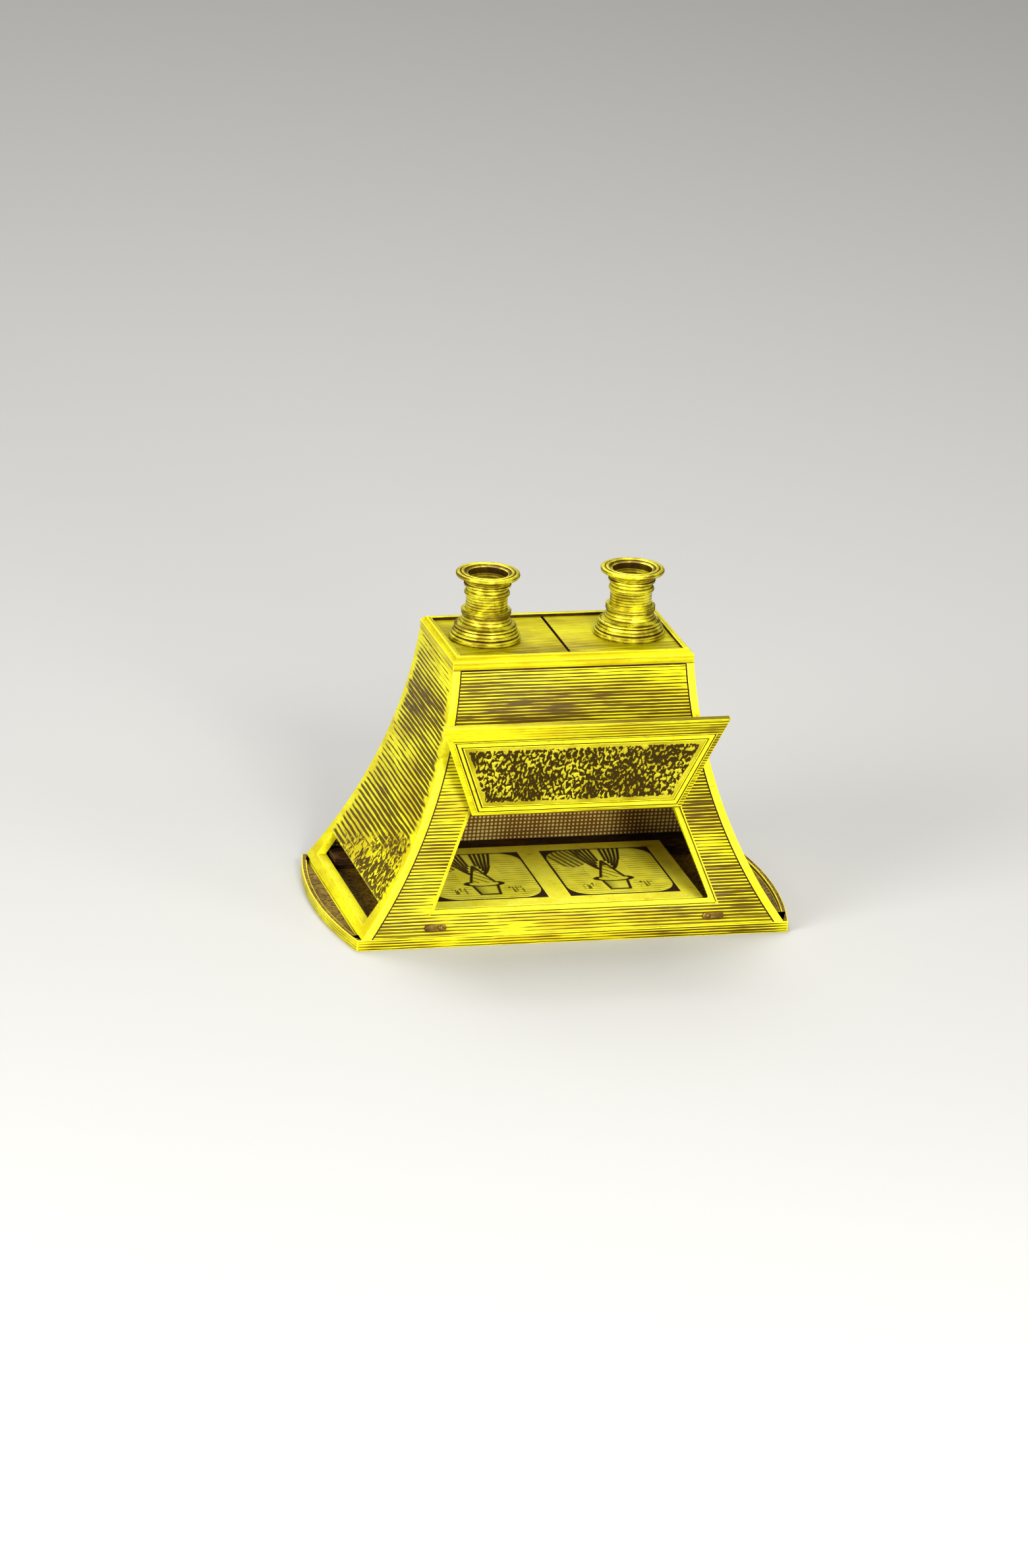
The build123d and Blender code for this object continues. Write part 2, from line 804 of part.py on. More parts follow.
# Door knob: a small turned knob near the free edge, on the outside of the door.
knob_centre = door_plane.from_local_coords((0, door_length - knob_edge_distance, hinge_rise))
knob_plane = Plane(origin=knob_centre, x_dir=(1, 0, 0), z_dir=door_plane.y_dir)
knob_axis = Axis(origin=knob_centre, direction=-door_plane.z_dir)
knob_out = -1 if knob_plane.to_local_coords(knob_centre + door_plane.z_dir).Y > 0 else 1
knob_middle = knob_height - knob_radius
knob_waist = knob_middle - sqrt(knob_radius**2 - knob_neck_radius**2)
with BuildPart() as door_knob:
    with BuildSketch(knob_plane):
        with BuildLine():
            Polyline(
                (0, knob_out * knob_height),
                (0, -knob_out * knob_spigot),
                (knob_neck_radius, -knob_out * knob_spigot),
                (knob_neck_radius, 0),
                (knob_foot_radius, 0),
                (knob_neck_radius, knob_out * knob_waist),
            )
            ThreePointArc(
                (knob_neck_radius, knob_out * knob_waist),
                (knob_radius, knob_out * knob_middle),
                (0, knob_out * knob_height),
            )
        make_face()
    revolve(axis=knob_axis)
door_knob.part.label = "door_knob"
export_step(door_knob.part, "parts/door_knob.step")


# Turn-buttons: flat brass tongues below the opening that turn up over the closed door.
for name, side in sides.items():
    with BuildPart() as turn_button:
        with BuildSketch(front_face.offset(button_lift)):
            middle = side * (button_reach - button_tail) / 2
            with Locations((side * button_half_spacing + middle, button_height)):
                SlotOverall(button_reach + button_tail, 2 * button_half_width)
        extrude(amount=button_thickness)
        extrude(
            circles(
                front_face,
                [(side * button_half_spacing, button_height)],
                button_screw_radius + pin_clearance,
            ),
            amount=button_lift + button_thickness, mode=Mode.SUBTRACT,
        )
    turn_button.part.label = f"{name}_turn_button"
    export_step(turn_button.part, f"parts/{name}_turn_button.step")

with BuildPart() as button_screws:
    extrude(
        circles(front_face.offset(-button_screw_length), button_places, button_screw_radius),
        amount=button_screw_length + 2 * button_lift + button_thickness,
    )
    extrude(
        circles(
            front_face.offset(2 * button_lift + button_thickness), button_places, button_head_radius
        ),
        amount=button_head_height,
    )
button_screws.part.label = "button_screws"
export_step(button_screws.part, "parts/button_screws.step")


# Lens boards and eyepieces, the same on both sides.
for name, side in sides.items():
    eye_x = side * eye_spacing / 2
    eye_plane = Plane(origin=(eye_x, 0, board_top), x_dir=(1, 0, 0), z_dir=(0, -1, 0))
    eye_axis = Axis(origin=(eye_x, 0, 0), direction=(0, 0, 1))

    # Lens board: half of the top, free to slide sideways in the rails' grooves.
    near = min(side * board_joint / 2, side * board_edge)
    far = max(side * board_joint / 2, side * board_edge)
    board_half_depth = top_half_depth - rail_wall - board_end_gap
    with BuildPart() as lens_board:
        extrude(
            rectangle(Plane.XY.offset(board_low), (near, -board_half_depth), (far, board_half_depth)),
            amount=board_thickness,
        )
        extrude(
            circles(Plane.XY.offset(board_low), [(eye_x, 0)], spigot_radius),
            amount=board_thickness, mode=Mode.SUBTRACT,
        )
    lens_board.part.label = f"{name}_lens_board"
    export_step(lens_board.part, f"parts/{name}_lens_board.step")

    # Eyepiece foot: a turned bell with a collar, whose spigot passes through the board.
    with BuildPart() as eyepiece_foot:
        with BuildSketch(eye_plane):
            with BuildLine():
                Polyline(
                    (bore_radius, foot_height),
                    (bore_radius, -spigot_length),
                    (spigot_radius, -spigot_length),
                    (spigot_radius, 0),
                    (foot_radius, 0),
                    (foot_radius, foot_rim_height),
                    (foot_radius - foot_rim_round, foot_rim_height + foot_rim_round),
                    (bell_low_radius, foot_rim_height + foot_rim_round),
                    (bell_ring_radius, bell_ring_height),
                    (bell_ring_radius - bell_ring_step, bell_ring_height),
                )
                SagittaArc(
                    (bell_ring_radius - bell_ring_step, bell_ring_height),
                    (neck_radius, neck_height),
                    bell_hollow,
                )
                Polyline(
                    (neck_radius, neck_height),
                    (collar_radius, collar_low),
                    (collar_radius, foot_height),
                    (bore_radius, foot_height),
                )
            make_face()
        revolve(axis=eye_axis)
        extrude(
            circles(Plane.XZ, [(eye_x, board_top + guide_height)], guide_radius),
            amount=-2 * foot_radius, mode=Mode.SUBTRACT,
        )
    eyepiece_foot.part.label = f"{name}_eyepiece_foot"
    export_step(eyepiece_foot.part, f"parts/{name}_eyepiece_foot.step")

    # Foot nut: a ring under the board that clamps the foot to it.
    with BuildPart() as foot_nut:
        with BuildSketch(Plane.XY.offset(board_low - nut_thickness)):
            with Locations((eye_x, 0)):
                Circle(nut_radius)
                Circle(spigot_radius, mode=Mode.SUBTRACT)
        extrude(amount=nut_thickness)
    foot_nut.part.label = f"{name}_foot_nut"
    export_step(foot_nut.part, f"parts/{name}_foot_nut.step")

    # Guide pin: passes through the collar at the back into the tube's groove.
    pin_tip = tube_radius - groove_depth + guide_tip_gap
    pin_plane = Plane(
        origin=(eye_x, pin_tip, board_top + guide_height), x_dir=(1, 0, 0), z_dir=(0, 1, 0)
    )
    with BuildPart() as guide_pin:
        extrude(circles(pin_plane, [(0, 0)], guide_radius), amount=collar_radius - pin_tip)
        extrude(
            circles(pin_plane.offset(collar_radius - pin_tip), [(0, 0)], guide_head_radius),
            amount=guide_head_height,
        )
    guide_pin.part.label = f"{name}_guide_pin"
    export_step(guide_pin.part, f"parts/{name}_guide_pin.step")

    # Draw tube: slides in the foot to focus, with a raised ring that stops it and a groove
    # for the guide pin.
    groove_low = guide_height - guide_radius - tube_travel_up - groove_end_gap
    groove_high = guide_height + guide_radius + tube_travel_down + groove_end_gap
    with BuildPart() as draw_tube:
        with BuildSketch(eye_plane):
            with BuildLine():
                Polyline(
                    (tube_radius, ring_low),
                    (tube_radius, tube_low),
                    (tube_radius - tube_wall, tube_low),
                    (tube_radius - tube_wall, tube_high),
                    (tube_radius, tube_high),
                    (tube_radius, ring_high),
                )
                ThreePointArc(
                    (tube_radius, ring_high),
                    (ring_radius, (ring_low + ring_high) / 2),
                    (tube_radius, ring_low),
                )
            make_face()
        revolve(axis=eye_axis)
        extrude(
            rectangle(
                Plane.XZ.offset(groove_depth - tube_radius),
                (eye_x - groove_width / 2, board_top + groove_low),
                (eye_x + groove_width / 2, board_top + groove_high),
            ),
            amount=-tube_radius, mode=Mode.SUBTRACT,
        )
    draw_tube.part.label = f"{name}_draw_tube"
    export_step(draw_tube.part, f"parts/{name}_draw_tube.step")

    # Eye rim: a flared ring on the tube's top that the eye socket rests on.
    with BuildPart() as eye_rim:
        with BuildSketch(eye_plane):
            with BuildLine():
                Polyline(
                    (tube_radius, tube_high),
                    (tube_radius, eye_rim_low),
                    (eye_rim_collar, eye_rim_low),
                    (eye_rim_collar, eye_rim_low + eye_rim_collar_height),
                    (eye_rim_neck, eye_rim_low + eye_rim_collar_height),
                )
                SagittaArc(
                    (eye_rim_neck, eye_rim_low + eye_rim_collar_height),
                    (eye_rim_radius, eye_rim_under),
                    eye_rim_round,
                )
                Polyline(
                    (eye_rim_radius, eye_rim_under),
                    (eye_rim_radius, eye_rim_high - eye_rim_round),
                    (eye_rim_radius - eye_rim_round, eye_rim_high),
                    (eye_funnel_radius, eye_rim_high),
                    (eye_hole_radius, eye_rim_high - eye_funnel_depth),
                    (eye_hole_radius, tube_high),
                    (tube_radius, tube_high),
                )
            make_face()
        revolve(axis=eye_axis)
    eye_rim.part.label = f"{name}_eye_rim"
    export_step(eye_rim.part, f"parts/{name}_eye_rim.step")

    # Lens: a small magnifier near the tube's lower end, with a shallow dome on both faces.
    dome_radius = (lens_radius**2 + lens_dome**2) / (2 * lens_dome)
    dome_middle = dome_radius - sqrt(dome_radius**2 - lens_radius**2 / 4)
    with BuildPart() as lens:
        with BuildSketch(eye_plane):
            with BuildLine():
                Line((0, lens_low - lens_dome), (0, lens_low + lens_edge + lens_dome))
                ThreePointArc(
                    (0, lens_low + lens_edge + lens_dome),
                    (lens_radius / 2, lens_low + lens_edge + lens_dome - dome_middle),
                    (lens_radius, lens_low + lens_edge),
                )
                Line((lens_radius, lens_low + lens_edge), (lens_radius, lens_low))
                ThreePointArc(
                    (lens_radius, lens_low),
                    (lens_radius / 2, lens_low - lens_dome + dome_middle),
                    (0, lens_low - lens_dome),
                )
            make_face()
        revolve(axis=eye_axis)
    lens.part.label = f"{name}_lens"
    export_step(lens.part, f"parts/{name}_lens.step")

    # Lens rings: one above and one below, whose inner edges hold the lens by its domes.
    lens_seat = lens_dome - dome_radius + sqrt(dome_radius**2 - lens_ring_radius**2)
    lens_bore = tube_radius - tube_wall - lens_ring_clearance
    with BuildPart() as lens_rings:
        for low in (lens_low - lens_seat - lens_ring_height, lens_low + lens_edge + lens_seat):
            with BuildSketch(Plane.XY.offset(board_top + low)):
                with Locations((eye_x, 0)):
                    Circle(lens_bore)
                    Circle(lens_ring_radius, mode=Mode.SUBTRACT)
            extrude(amount=lens_ring_height)
    lens_rings.part.label = f"{name}_lens_rings"
    export_step(lens_rings.part, f"parts/{name}_lens_rings.step")
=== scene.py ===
import math

import bpy
from mathutils import Matrix, Vector, noise


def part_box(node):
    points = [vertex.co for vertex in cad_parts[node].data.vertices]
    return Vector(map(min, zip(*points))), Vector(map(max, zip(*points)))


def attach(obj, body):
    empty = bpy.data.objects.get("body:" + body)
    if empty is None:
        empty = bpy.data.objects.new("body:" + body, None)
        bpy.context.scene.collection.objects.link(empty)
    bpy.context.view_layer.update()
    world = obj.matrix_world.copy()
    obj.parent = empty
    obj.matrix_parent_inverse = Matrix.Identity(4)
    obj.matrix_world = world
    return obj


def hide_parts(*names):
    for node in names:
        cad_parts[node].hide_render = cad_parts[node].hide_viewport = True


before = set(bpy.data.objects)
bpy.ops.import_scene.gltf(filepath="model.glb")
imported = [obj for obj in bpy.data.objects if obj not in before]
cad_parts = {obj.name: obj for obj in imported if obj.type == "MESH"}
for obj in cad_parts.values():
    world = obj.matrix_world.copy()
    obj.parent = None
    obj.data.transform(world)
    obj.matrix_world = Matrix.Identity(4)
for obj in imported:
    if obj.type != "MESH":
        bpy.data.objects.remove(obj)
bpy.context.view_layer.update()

MM = 0.001


# The viewpoint: a camera low on the left, looking slightly down on the front of the case.
# A long lens keeps the case's edges nearly parallel.
look_at = Vector((-0.0158, 0.0, 0.0542))
azimuth = math.radians(-15.5)
elevation = math.radians(19.7)
roll = math.radians(3.06)
distance = 3.0
back = Vector((
    math.sin(azimuth) * math.cos(elevation),
    -math.cos(azimuth) * math.cos(elevation),
    math.sin(elevation),
))
level = Vector((math.cos(azimuth), math.sin(azimuth), 0))
upward = back.cross(level)
rolled_right = math.cos(roll) * level + math.sin(roll) * upward
rolled_up = back.cross(rolled_right)
camera = bpy.data.objects.new("camera", bpy.data.cameras.new("camera"))
camera.data.sensor_width = 36
camera.data.lens = 157.0
camera.data.clip_start = 0.05
camera.matrix_world = Matrix.Translation(look_at + distance * back) @ Matrix((
    rolled_right, rolled_up, back
)).transposed().to_4x4()
bpy.context.scene.collection.objects.link(camera)
bpy.context.scene.camera = camera


# The room: a pale floor, a dim even sky and large soft lamps, from the right, from straight in
# front so that light reaches into the case, from low down, from the left, from above and from
# far behind. Colours are shown with a little more contrast than they have.
def soft_lamp(name, place, size, power, tint):
    data = bpy.data.lights.new(name, "AREA")
    data.size = size
    data.energy = power
    data.color = tint
    lamp = bpy.data.objects.new(name, data)
    lamp.location = place
    lamp.rotation_euler = (Vector((0, 0, 0.06)) - Vector(place)).to_track_quat("-Z", "Y").to_euler()
    bpy.context.scene.collection.objects.link(lamp)


soft_lamp("lamp_right", (1.0, -1.0, 0.9), 0.5, 5.0, (1.0, 0.98, 0.95))
soft_lamp("lamp_front", (0.1, -1.35, 0.88), 0.35, 16, (1.0, 0.99, 0.96))
soft_lamp("lamp_low", (0.2, -1.6, 0.36), 0.3, 10, (1.0, 0.99, 0.96))
soft_lamp("lamp_left", (-1.3, -0.7, 0.6), 0.8, 28, (0.98, 0.99, 1.0))
soft_lamp("lamp_top", (0.1, 0.5, 1.5), 0.8, 12, (1.0, 1.0, 1.0))
soft_lamp("lamp_back", (0.0, 2.0, 2.2), 1.5, 28, (1.0, 1.0, 1.0))
bpy.context.scene.view_settings.view_transform = "Standard"
bpy.context.scene.view_settings.look = "Medium High Contrast"
bpy.context.scene.view_settings.exposure = -0.22
sky = bpy.data.worlds.new("sky")
sky.use_nodes = True
sky.node_tree.nodes["Background"].inputs[0].default_value = (0.95, 0.95, 0.93, 1)
sky.node_tree.nodes["Background"].inputs[1].default_value = 0.28
bpy.context.scene.world = sky

bpy.ops.object.select_all(action="DESELECT")
bpy.ops.mesh.primitive_plane_add(size=6, location=(0, 0, 0))
floor = bpy.context.object
floor.name = "floor"
floor_paint = bpy.data.materials.new("floor_paint")
floor_paint.use_nodes = True
floor_shader = floor_paint.node_tree.nodes["Principled BSDF"]
floor_shader.inputs["Base Color"].default_value = (0.45, 0.445, 0.43, 1)
floor_shader.inputs["Roughness"].default_value = 0.8
floor.data.materials.append(floor_paint)


# Base board: a satinwood board with bowed ends, each hollowed out into a lip under a card slot.
# It is planed from the solid, its arrises are eased and rubbed light with a painted highlight,
# its hollows are painted dark as painted shade, and the part inside the case is darkened with
# stain. The other boards of the case are finished in the same way.
def merged_copy(node, name):
    """A new piece from a part's mesh, with its loose triangles merged into whole faces."""
    bpy.ops.object.select_all(action="DESELECT")
    piece = bpy.data.objects.new(name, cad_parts[node].data.copy())
    piece.data.materials.clear()
    bpy.context.scene.collection.objects.link(piece)
    bpy.context.view_layer.objects.active = piece
    piece.select_set(True)
    bpy.ops.mesh.customdata_custom_splitnormals_clear()
    bpy.ops.object.mode_set(mode="EDIT")
    bpy.ops.mesh.select_all(action="SELECT")
    bpy.ops.mesh.remove_doubles(threshold=0.002 * MM)
    bpy.ops.mesh.dissolve_limited(angle_limit=math.radians(0.2))
    bpy.ops.object.mode_set(mode="OBJECT")
    return piece


def ease(piece, width, edge_slot=0, where=None):
    """Rounds a piece's arrises, or only those whose middle suits, with the finish in edge_slot."""
    corners = [Vector(corner) for corner in piece.bound_box]
    if where is not None:
        bpy.ops.object.mode_set(mode="EDIT")
        bpy.ops.mesh.select_mode(type="EDGE")
        bpy.ops.mesh.select_all(action="DESELECT")
        bpy.ops.mesh.edges_select_sharp(sharpness=math.radians(30))
        bpy.ops.object.mode_set(mode="OBJECT")
        bpy.context.tool_settings.mesh_select_mode = (True, False, False)
        weights = piece.data.attributes.new("bevel_weight_edge", "FLOAT", "EDGE")
        for edge in piece.data.edges:
            ends = [piece.data.vertices[index].co for index in edge.vertices]
            middle = (ends[0] + ends[1]) / 2 / MM
            weights.data[edge.index].value = 1.0 if edge.select and where(middle) else 0.0
    bevel = piece.modifiers.new("ease", "BEVEL")
    bevel.width = width * MM
    bevel.segments = 3
    bevel.limit_method = "ANGLE" if where is None else "WEIGHT"
    bevel.angle_limit = math.radians(30)
    bevel.use_clamp_overlap = True
    bevel.material = edge_slot
    bpy.ops.object.modifier_apply(modifier="ease")
    for vertex in piece.data.vertices:
        for axis in range(3):
            vertex.co[axis] = min(max(vertex.co[axis], corners[0][axis]), corners[6][axis])
    bpy.ops.object.shade_smooth_by_angle(angle=math.radians(28))


def paint_faces(piece, slot_index, wanted):
    """Gives the finish in slot_index to the faces whose middle and normal suit."""
    for face in piece.data.polygons:
        if wanted(face.center / MM, face.normal):
            face.material_index = slot_index


def wire(tree, kind, inputs=None, **settings):
    """One node of a finish: its settings, and for each input a value or a socket to feed it."""
    made = tree.nodes.new("ShaderNode" + kind)
    for setting, value in settings.items():
        setattr(made, setting, value)
    for key, value in (inputs or {}).items():
        if isinstance(value, bpy.types.NodeSocket):
            tree.links.new(value, made.inputs[key])
        else:
            made.inputs[key].default_value = value
    return made


def new_finish(name):
    """An empty finish: its material, node tree, shader and the place it is read at."""
    paint = bpy.data.materials.new(name)
    paint.use_nodes = True
    tree = paint.node_tree
    shader = tree.nodes["Principled BSDF"]
    place = wire(tree, "TexCoord").outputs["Object"]
    return paint, tree, shader, place


def stretched(tree, place, turn, scale):
    """The place turned by an angle about each axis and then scaled along each axis."""
    turned_place = wire(tree, "Mapping", {"Vector": place, "Rotation": turn}).outputs[0]
    return wire(tree, "Mapping", {"Vector": turned_place, "Scale": scale}).outputs[0]


def cloudy(tree, place, scale, detail=3.0, distortion=0.0):
    """Soft random tone, from 0 to 1."""
    inputs = {"Vector": place, "Scale": scale, "Detail": detail, "Distortion": distortion}
    return wire(tree, "TexNoise", inputs).outputs[0]


def ranged(tree, value, low, high, start=0.0, end=1.0):
    """Turns values from low to high into start to end, with a soft knee at both."""
    inputs = {0: value, 1: low, 2: high, 3: start, 4: end}
    return wire(tree, "MapRange", inputs, interpolation_type="SMOOTHSTEP").outputs[0]


def sums(tree, operation, first, second=0.0):
    return wire(tree, "Math", {0: first, 1: second}, operation=operation).outputs[0]


def tinted(tree, amount, first, second):
    """A colour from first at 0 to second at 1."""
    return wire(tree, "Mix", {0: amount, 6: first, 7: second}, data_type="RGBA").outputs[2]


def bumped(tree, shader, height, distance):
    relief = wire(tree, "Bump", {"Height": height, "Distance": distance * MM, "Strength": 1.0})
    tree.links.new(relief.outputs[0], shader.inputs["Normal"])


def rgb(red, green, blue):
    return (red, green, blue, 1.0)


one_band = 0.31416      # a wave texture of this scale has one band to the metre


def grain_lines(tree, place, pitch, waviness=1.6):
    """Fine growth lines stacked along z and running along x, 1 in the middle of a line."""
    inputs = {"Vector": place, "Scale": one_band / (pitch * MM), "Distortion": waviness,
              "Detail": 2.0,
              "Detail Scale": 0.1 * pitch, "Detail Roughness": 0.55}
    return wire(tree, "TexWave", inputs, wave_type="BANDS", bands_direction="Z").outputs[1]


wood_light = rgb(0.65, 0.61, 0.010)
wood_gold = rgb(0.48, 0.40, 0.004)
wood_line = rgb(0.055, 0.024, 0.002)


def satinwood(name, turn, pitch=1.35, depth=1.0, fade=None, break_below=None):
    """Oiled golden wood with dark growth lines. turn lays the lines along the piece's grain.
    fade(tree, place) says where lines die out. Low down, below break_below at the front and
    less high towards the back, they break up into flecks."""
    paint, tree, shader, place = new_finish(name)
    along = stretched(tree, place, turn, (1, 1, 1))
    patches = cloudy(tree, stretched(tree, place, turn, (14, 45, 45)), 1.0, 3.0)
    tone = cloudy(tree, stretched(tree, place, turn, (30, 30, 90)), 1.0, 2.0, 0.4)
    breaks = cloudy(tree, stretched(tree, place, turn, (60, 500, 500)), 1.0, 2.0)
    pores = cloudy(tree, stretched(tree, place, turn, (260, 1900, 1900)), 1.0, 2.0)
    lines = grain_lines(tree, along, pitch)
    weight = sums(tree, "ADD", lines, ranged(tree, patches, 0.3, 0.7, -0.36, 0.40))
    weight = sums(tree, "ADD", weight, ranged(tree, breaks, 0.3, 0.7, -0.25, 0.2))
    dark = ranged(tree, weight, 0.32, 0.68)
    if break_below is not None:
        flecks = cloudy(tree, stretched(tree, place, turn, (330, 330, 240)), 1.0, 1.0, 1.5)
        parts = wire(tree, "SeparateXYZ", {0: place})
        height = sums(tree, "ADD", parts.outputs[2], sums(tree, "MULTIPLY", parts.outputs[1], 0.36))
        height = sums(tree, "ADD", height, ranged(tree, breaks, 0.3, 0.7, -4 * MM, 4 * MM))
        front_drop = 19         # about what the slope in y takes off the height at the front edge
        middle = break_below - front_drop
        share = ranged(tree, height, (middle - 4) * MM, (middle + 4) * MM, 1.0, 0.0)
        broken = ranged(tree, sums(tree, "ADD", flecks,
                                   ranged(tree, patches, 0.3, 0.7, -0.12, 0.1)), 0.48, 0.56)
        dark = sums(tree, "ADD", sums(tree, "MULTIPLY", dark, sums(tree, "SUBTRACT", 1.0, share)),
                    sums(tree, "MULTIPLY", broken, share))
    if fade is not None:
        dark = sums(tree, "MULTIPLY", dark, fade(tree, place))
    ground = tinted(tree, ranged(tree, tone, 0.32, 0.68), wood_gold, wood_light)
    flecked = tinted(tree, ranged(tree, pores, 0.5, 0.72, 0.0, 0.45), ground,
                     rgb(0.36, 0.26, 0.008))
    colour = tinted(tree, sums(tree, "MULTIPLY", dark, 0.94 * depth), flecked, wood_line)
    tree.links.new(colour, shader.inputs["Base Color"])
    tree.links.new(ranged(tree, pores, 0.3, 0.7, 0.36, 0.52), shader.inputs["Roughness"])
    shader.inputs["Coat Weight"].default_value = 0.03
    shader.inputs["Coat Roughness"].default_value = 0.25
    shader.inputs["Specular IOR Level"].default_value = 0.12
    relief = sums(tree, "SUBTRACT", sums(tree, "MULTIPLY", pores, 0.5),
                  sums(tree, "MULTIPLY", dark, 0.8 * depth))
    bumped(tree, shader, relief, 0.10)
    return paint


def rubbed_with_highlight(name):
    """Bare bright wood where an edge is rubbed smooth, drawn lighter than the boards as a painted
    highlight, with only faint streaks and small dents.
    """
    paint, tree, shader, place = new_finish(name)
    streaks = cloudy(tree, stretched(tree, place, (0, 0, 0), (120, 120, 300)), 1.0, 3.0)
    dents = cloudy(tree, place, 420.0, 2.0)
    ground = tinted(tree, ranged(tree, streaks, 0.3, 0.7), rgb(0.66, 0.57, 0.012),
                    rgb(0.80, 0.75, 0.03))
    colour = tinted(tree, ranged(tree, dents, 0.60, 0.72, 0.0, 0.5), ground, rgb(0.34, 0.22, 0.01))
    tree.links.new(colour, shader.inputs["Base Color"])
    tree.links.new(ranged(tree, streaks, 0.3, 0.7, 0.32, 0.46), shader.inputs["Roughness"])
    shader.inputs["Specular IOR Level"].default_value = 0.14
    bumped(tree, shader, dents, 0.05)
    return paint


def stain_and_shade(name, ground, stroke, turn, pitch):
    """Dark wood with its grain standing out in close strokes: real stain on some pieces, painted
    shade on others.
    """
    paint, tree, shader, place = new_finish(name)
    along = stretched(tree, place, turn, (1, 1, 1))
    lines = grain_lines(tree, along, pitch, 2.5)
    patches = cloudy(tree, stretched(tree, place, turn, (25, 60, 60)), 1.0, 3.0)
    weight = sums(tree, "ADD", lines, ranged(tree, patches, 0.3, 0.7, -0.35, 0.35))
    pores = cloudy(tree, stretched(tree, place, turn, (300, 1500, 1500)), 1.0, 2.0)
    dark = ranged(tree, weight, 0.35, 0.75)
    colour = tinted(tree, dark, tinted(tree, ranged(tree, pores, 0.4, 0.7), ground, stroke), stroke)
    tree.links.new(colour, shader.inputs["Base Color"])
    tree.links.new(ranged(tree, pores, 0.3, 0.7, 0.5, 0.75), shader.inputs["Roughness"])
    shader.inputs["Specular IOR Level"].default_value = 0.25
    bumped(tree, shader, sums(tree, "SUBTRACT", pores, dark), 0.08)
    return paint


def clear_of_ends(tree, place):
    """Lines stop short of the board's bowed ends."""
    across = sums(tree, "ABSOLUTE", wire(tree, "SeparateXYZ", {0: place}).outputs[0])
    return ranged(tree, across, 90 * MM, 97 * MM, 1.0, 0.55)


# Rubbed edges: partly worn wood, and partly a painted highlight along the arrises.
edge_highlight_wood = rubbed_with_highlight("rubbed_edge_highlight")
base_wood = satinwood("satinwood_base", (0, 0, 0), 1.25, 1.0, clear_of_ends)
hollow_shade = stain_and_shade("shaded_hollow", rgb(0.30, 0.20, 0.022), rgb(0.045, 0.018, 0.003),
                       (math.pi / 2, 0, 0.4), 1.5)
inner_stain = stain_and_shade("stained_inside", rgb(0.34, 0.22, 0.025), rgb(0.06, 0.025, 0.004),
                      (math.pi / 2, 0, 0.4), 1.5)
base_board = merged_copy("base_board", "base_board_eased")
for paint in (base_wood, edge_highlight_wood, hollow_shade, inner_stain):
    base_board.data.materials.append(paint)
ease(base_board, 0.45, 1)
# The floors and walls of the lips' hollows are painted dark as painted shade.
paint_faces(base_board, 2,
            lambda middle, normal: abs(middle.x) > 95 and 2.6 < middle.z < 3.4 and normal.z > 0.9)
paint_faces(base_board, 2,
            lambda middle, normal: abs(middle.x) > 95.5 and 3.2 < middle.z < 4.4 and normal.z < 0.5
            and normal.x * middle.x < 0)
paint_faces(base_board, 3,
            lambda middle, normal: abs(middle.x) < 92 and abs(middle.y) < 49 and normal.z > 0.5)
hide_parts("base_board")
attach(base_board, "case")


# Ground glass: a pane under the card that lets light up through a transparent slide. It is
# ground on its lower face and held in its rebate by four mitred beads pinned to the board.
def ground_pane(name):
    paint, tree, shader, place = new_finish(name)
    grit = cloudy(tree, place, 6000.0, 2.0)
    haze = cloudy(tree, place, 60.0, 3.0)
    tree.links.new(tinted(tree, haze, rgb(0.80, 0.84, 0.76), rgb(0.92, 0.93, 0.86)),
                   shader.inputs["Base Color"])
    tree.links.new(ranged(tree, haze, 0.2, 0.8, 0.38, 0.6), shader.inputs["Roughness"])
    shader.inputs["Transmission Weight"].default_value = 0.8
    shader.inputs["IOR"].default_value = 1.5
    bumped(tree, shader, grit, 0.02)
    return paint


pane_glass = ground_pane("ground_glass_pane")
pane = merged_copy("ground_glass", "ground_glass_pane")
pane.data.materials.append(pane_glass)
ease(pane, 0.2)
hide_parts("ground_glass")
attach(pane, "case")
bead_wood = satinwood("satinwood_bead", (0, 0, 0), 1.8, 0.35)
for where in ("front", "right", "back", "left"):
    glass_bead = merged_copy("glass_bead_" + where, "glass_bead_" + where + "_eased")
    glass_bead.data.materials.append(bead_wood)
    glass_bead.data.materials.append(edge_highlight_wood)
    ease(glass_bead, 0.35, 1)
    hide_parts("glass_bead_" + where)
    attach(glass_bead, "case")


# Bent sides: two boards steamed to a hollow curve, each with a slot low down that the card
# slides in through. Their front edges show as a painted highlight: bright strips beside the
# front board.
side_half_depth = 52            # of the lines, at the table's level
side_slope = 0.2124             # how far the edges lean in for each mm of height
slot_top = 17.5
curve_centre = (270.3, 132.5)   # of the circle that the inner faces follow
curve_radius = 220.3


def highlight_near_edges(tree, place):
    """Lines die out near the slot and near the front and back edges, which lean in upwards, leaving
    a painted highlight there.
    """
    parts = wire(tree, "SeparateXYZ", {0: place})
    lean_in = sums(tree, "MULTIPLY", parts.outputs[2], side_slope)
    reach = sums(tree, "ADD", sums(tree, "ABSOLUTE", parts.outputs[1]), lean_in)
    wander = cloudy(tree, stretched(tree, place, (0, 0, 0), (40, 40, 500)), 1.0, 1.0)
    reach = sums(tree, "ADD", reach, ranged(tree, wander, 0.3, 0.7, -2.5 * MM, 2.5 * MM))
    above_slot = ranged(tree, parts.outputs[2], slot_top * MM, (slot_top + 2) * MM)
    return sums(tree, "MULTIPLY", ranged(tree, reach, (side_half_depth - 4) * MM,
                                         side_half_depth * MM, 1.0, 0.0), above_slot)


def inner_face(height):
    """Half width between the bent sides at a height. Their inner faces follow a wide circle."""
    return curve_centre[0] - math.sqrt(curve_radius ** 2 - (height - curve_centre[1]) ** 2)
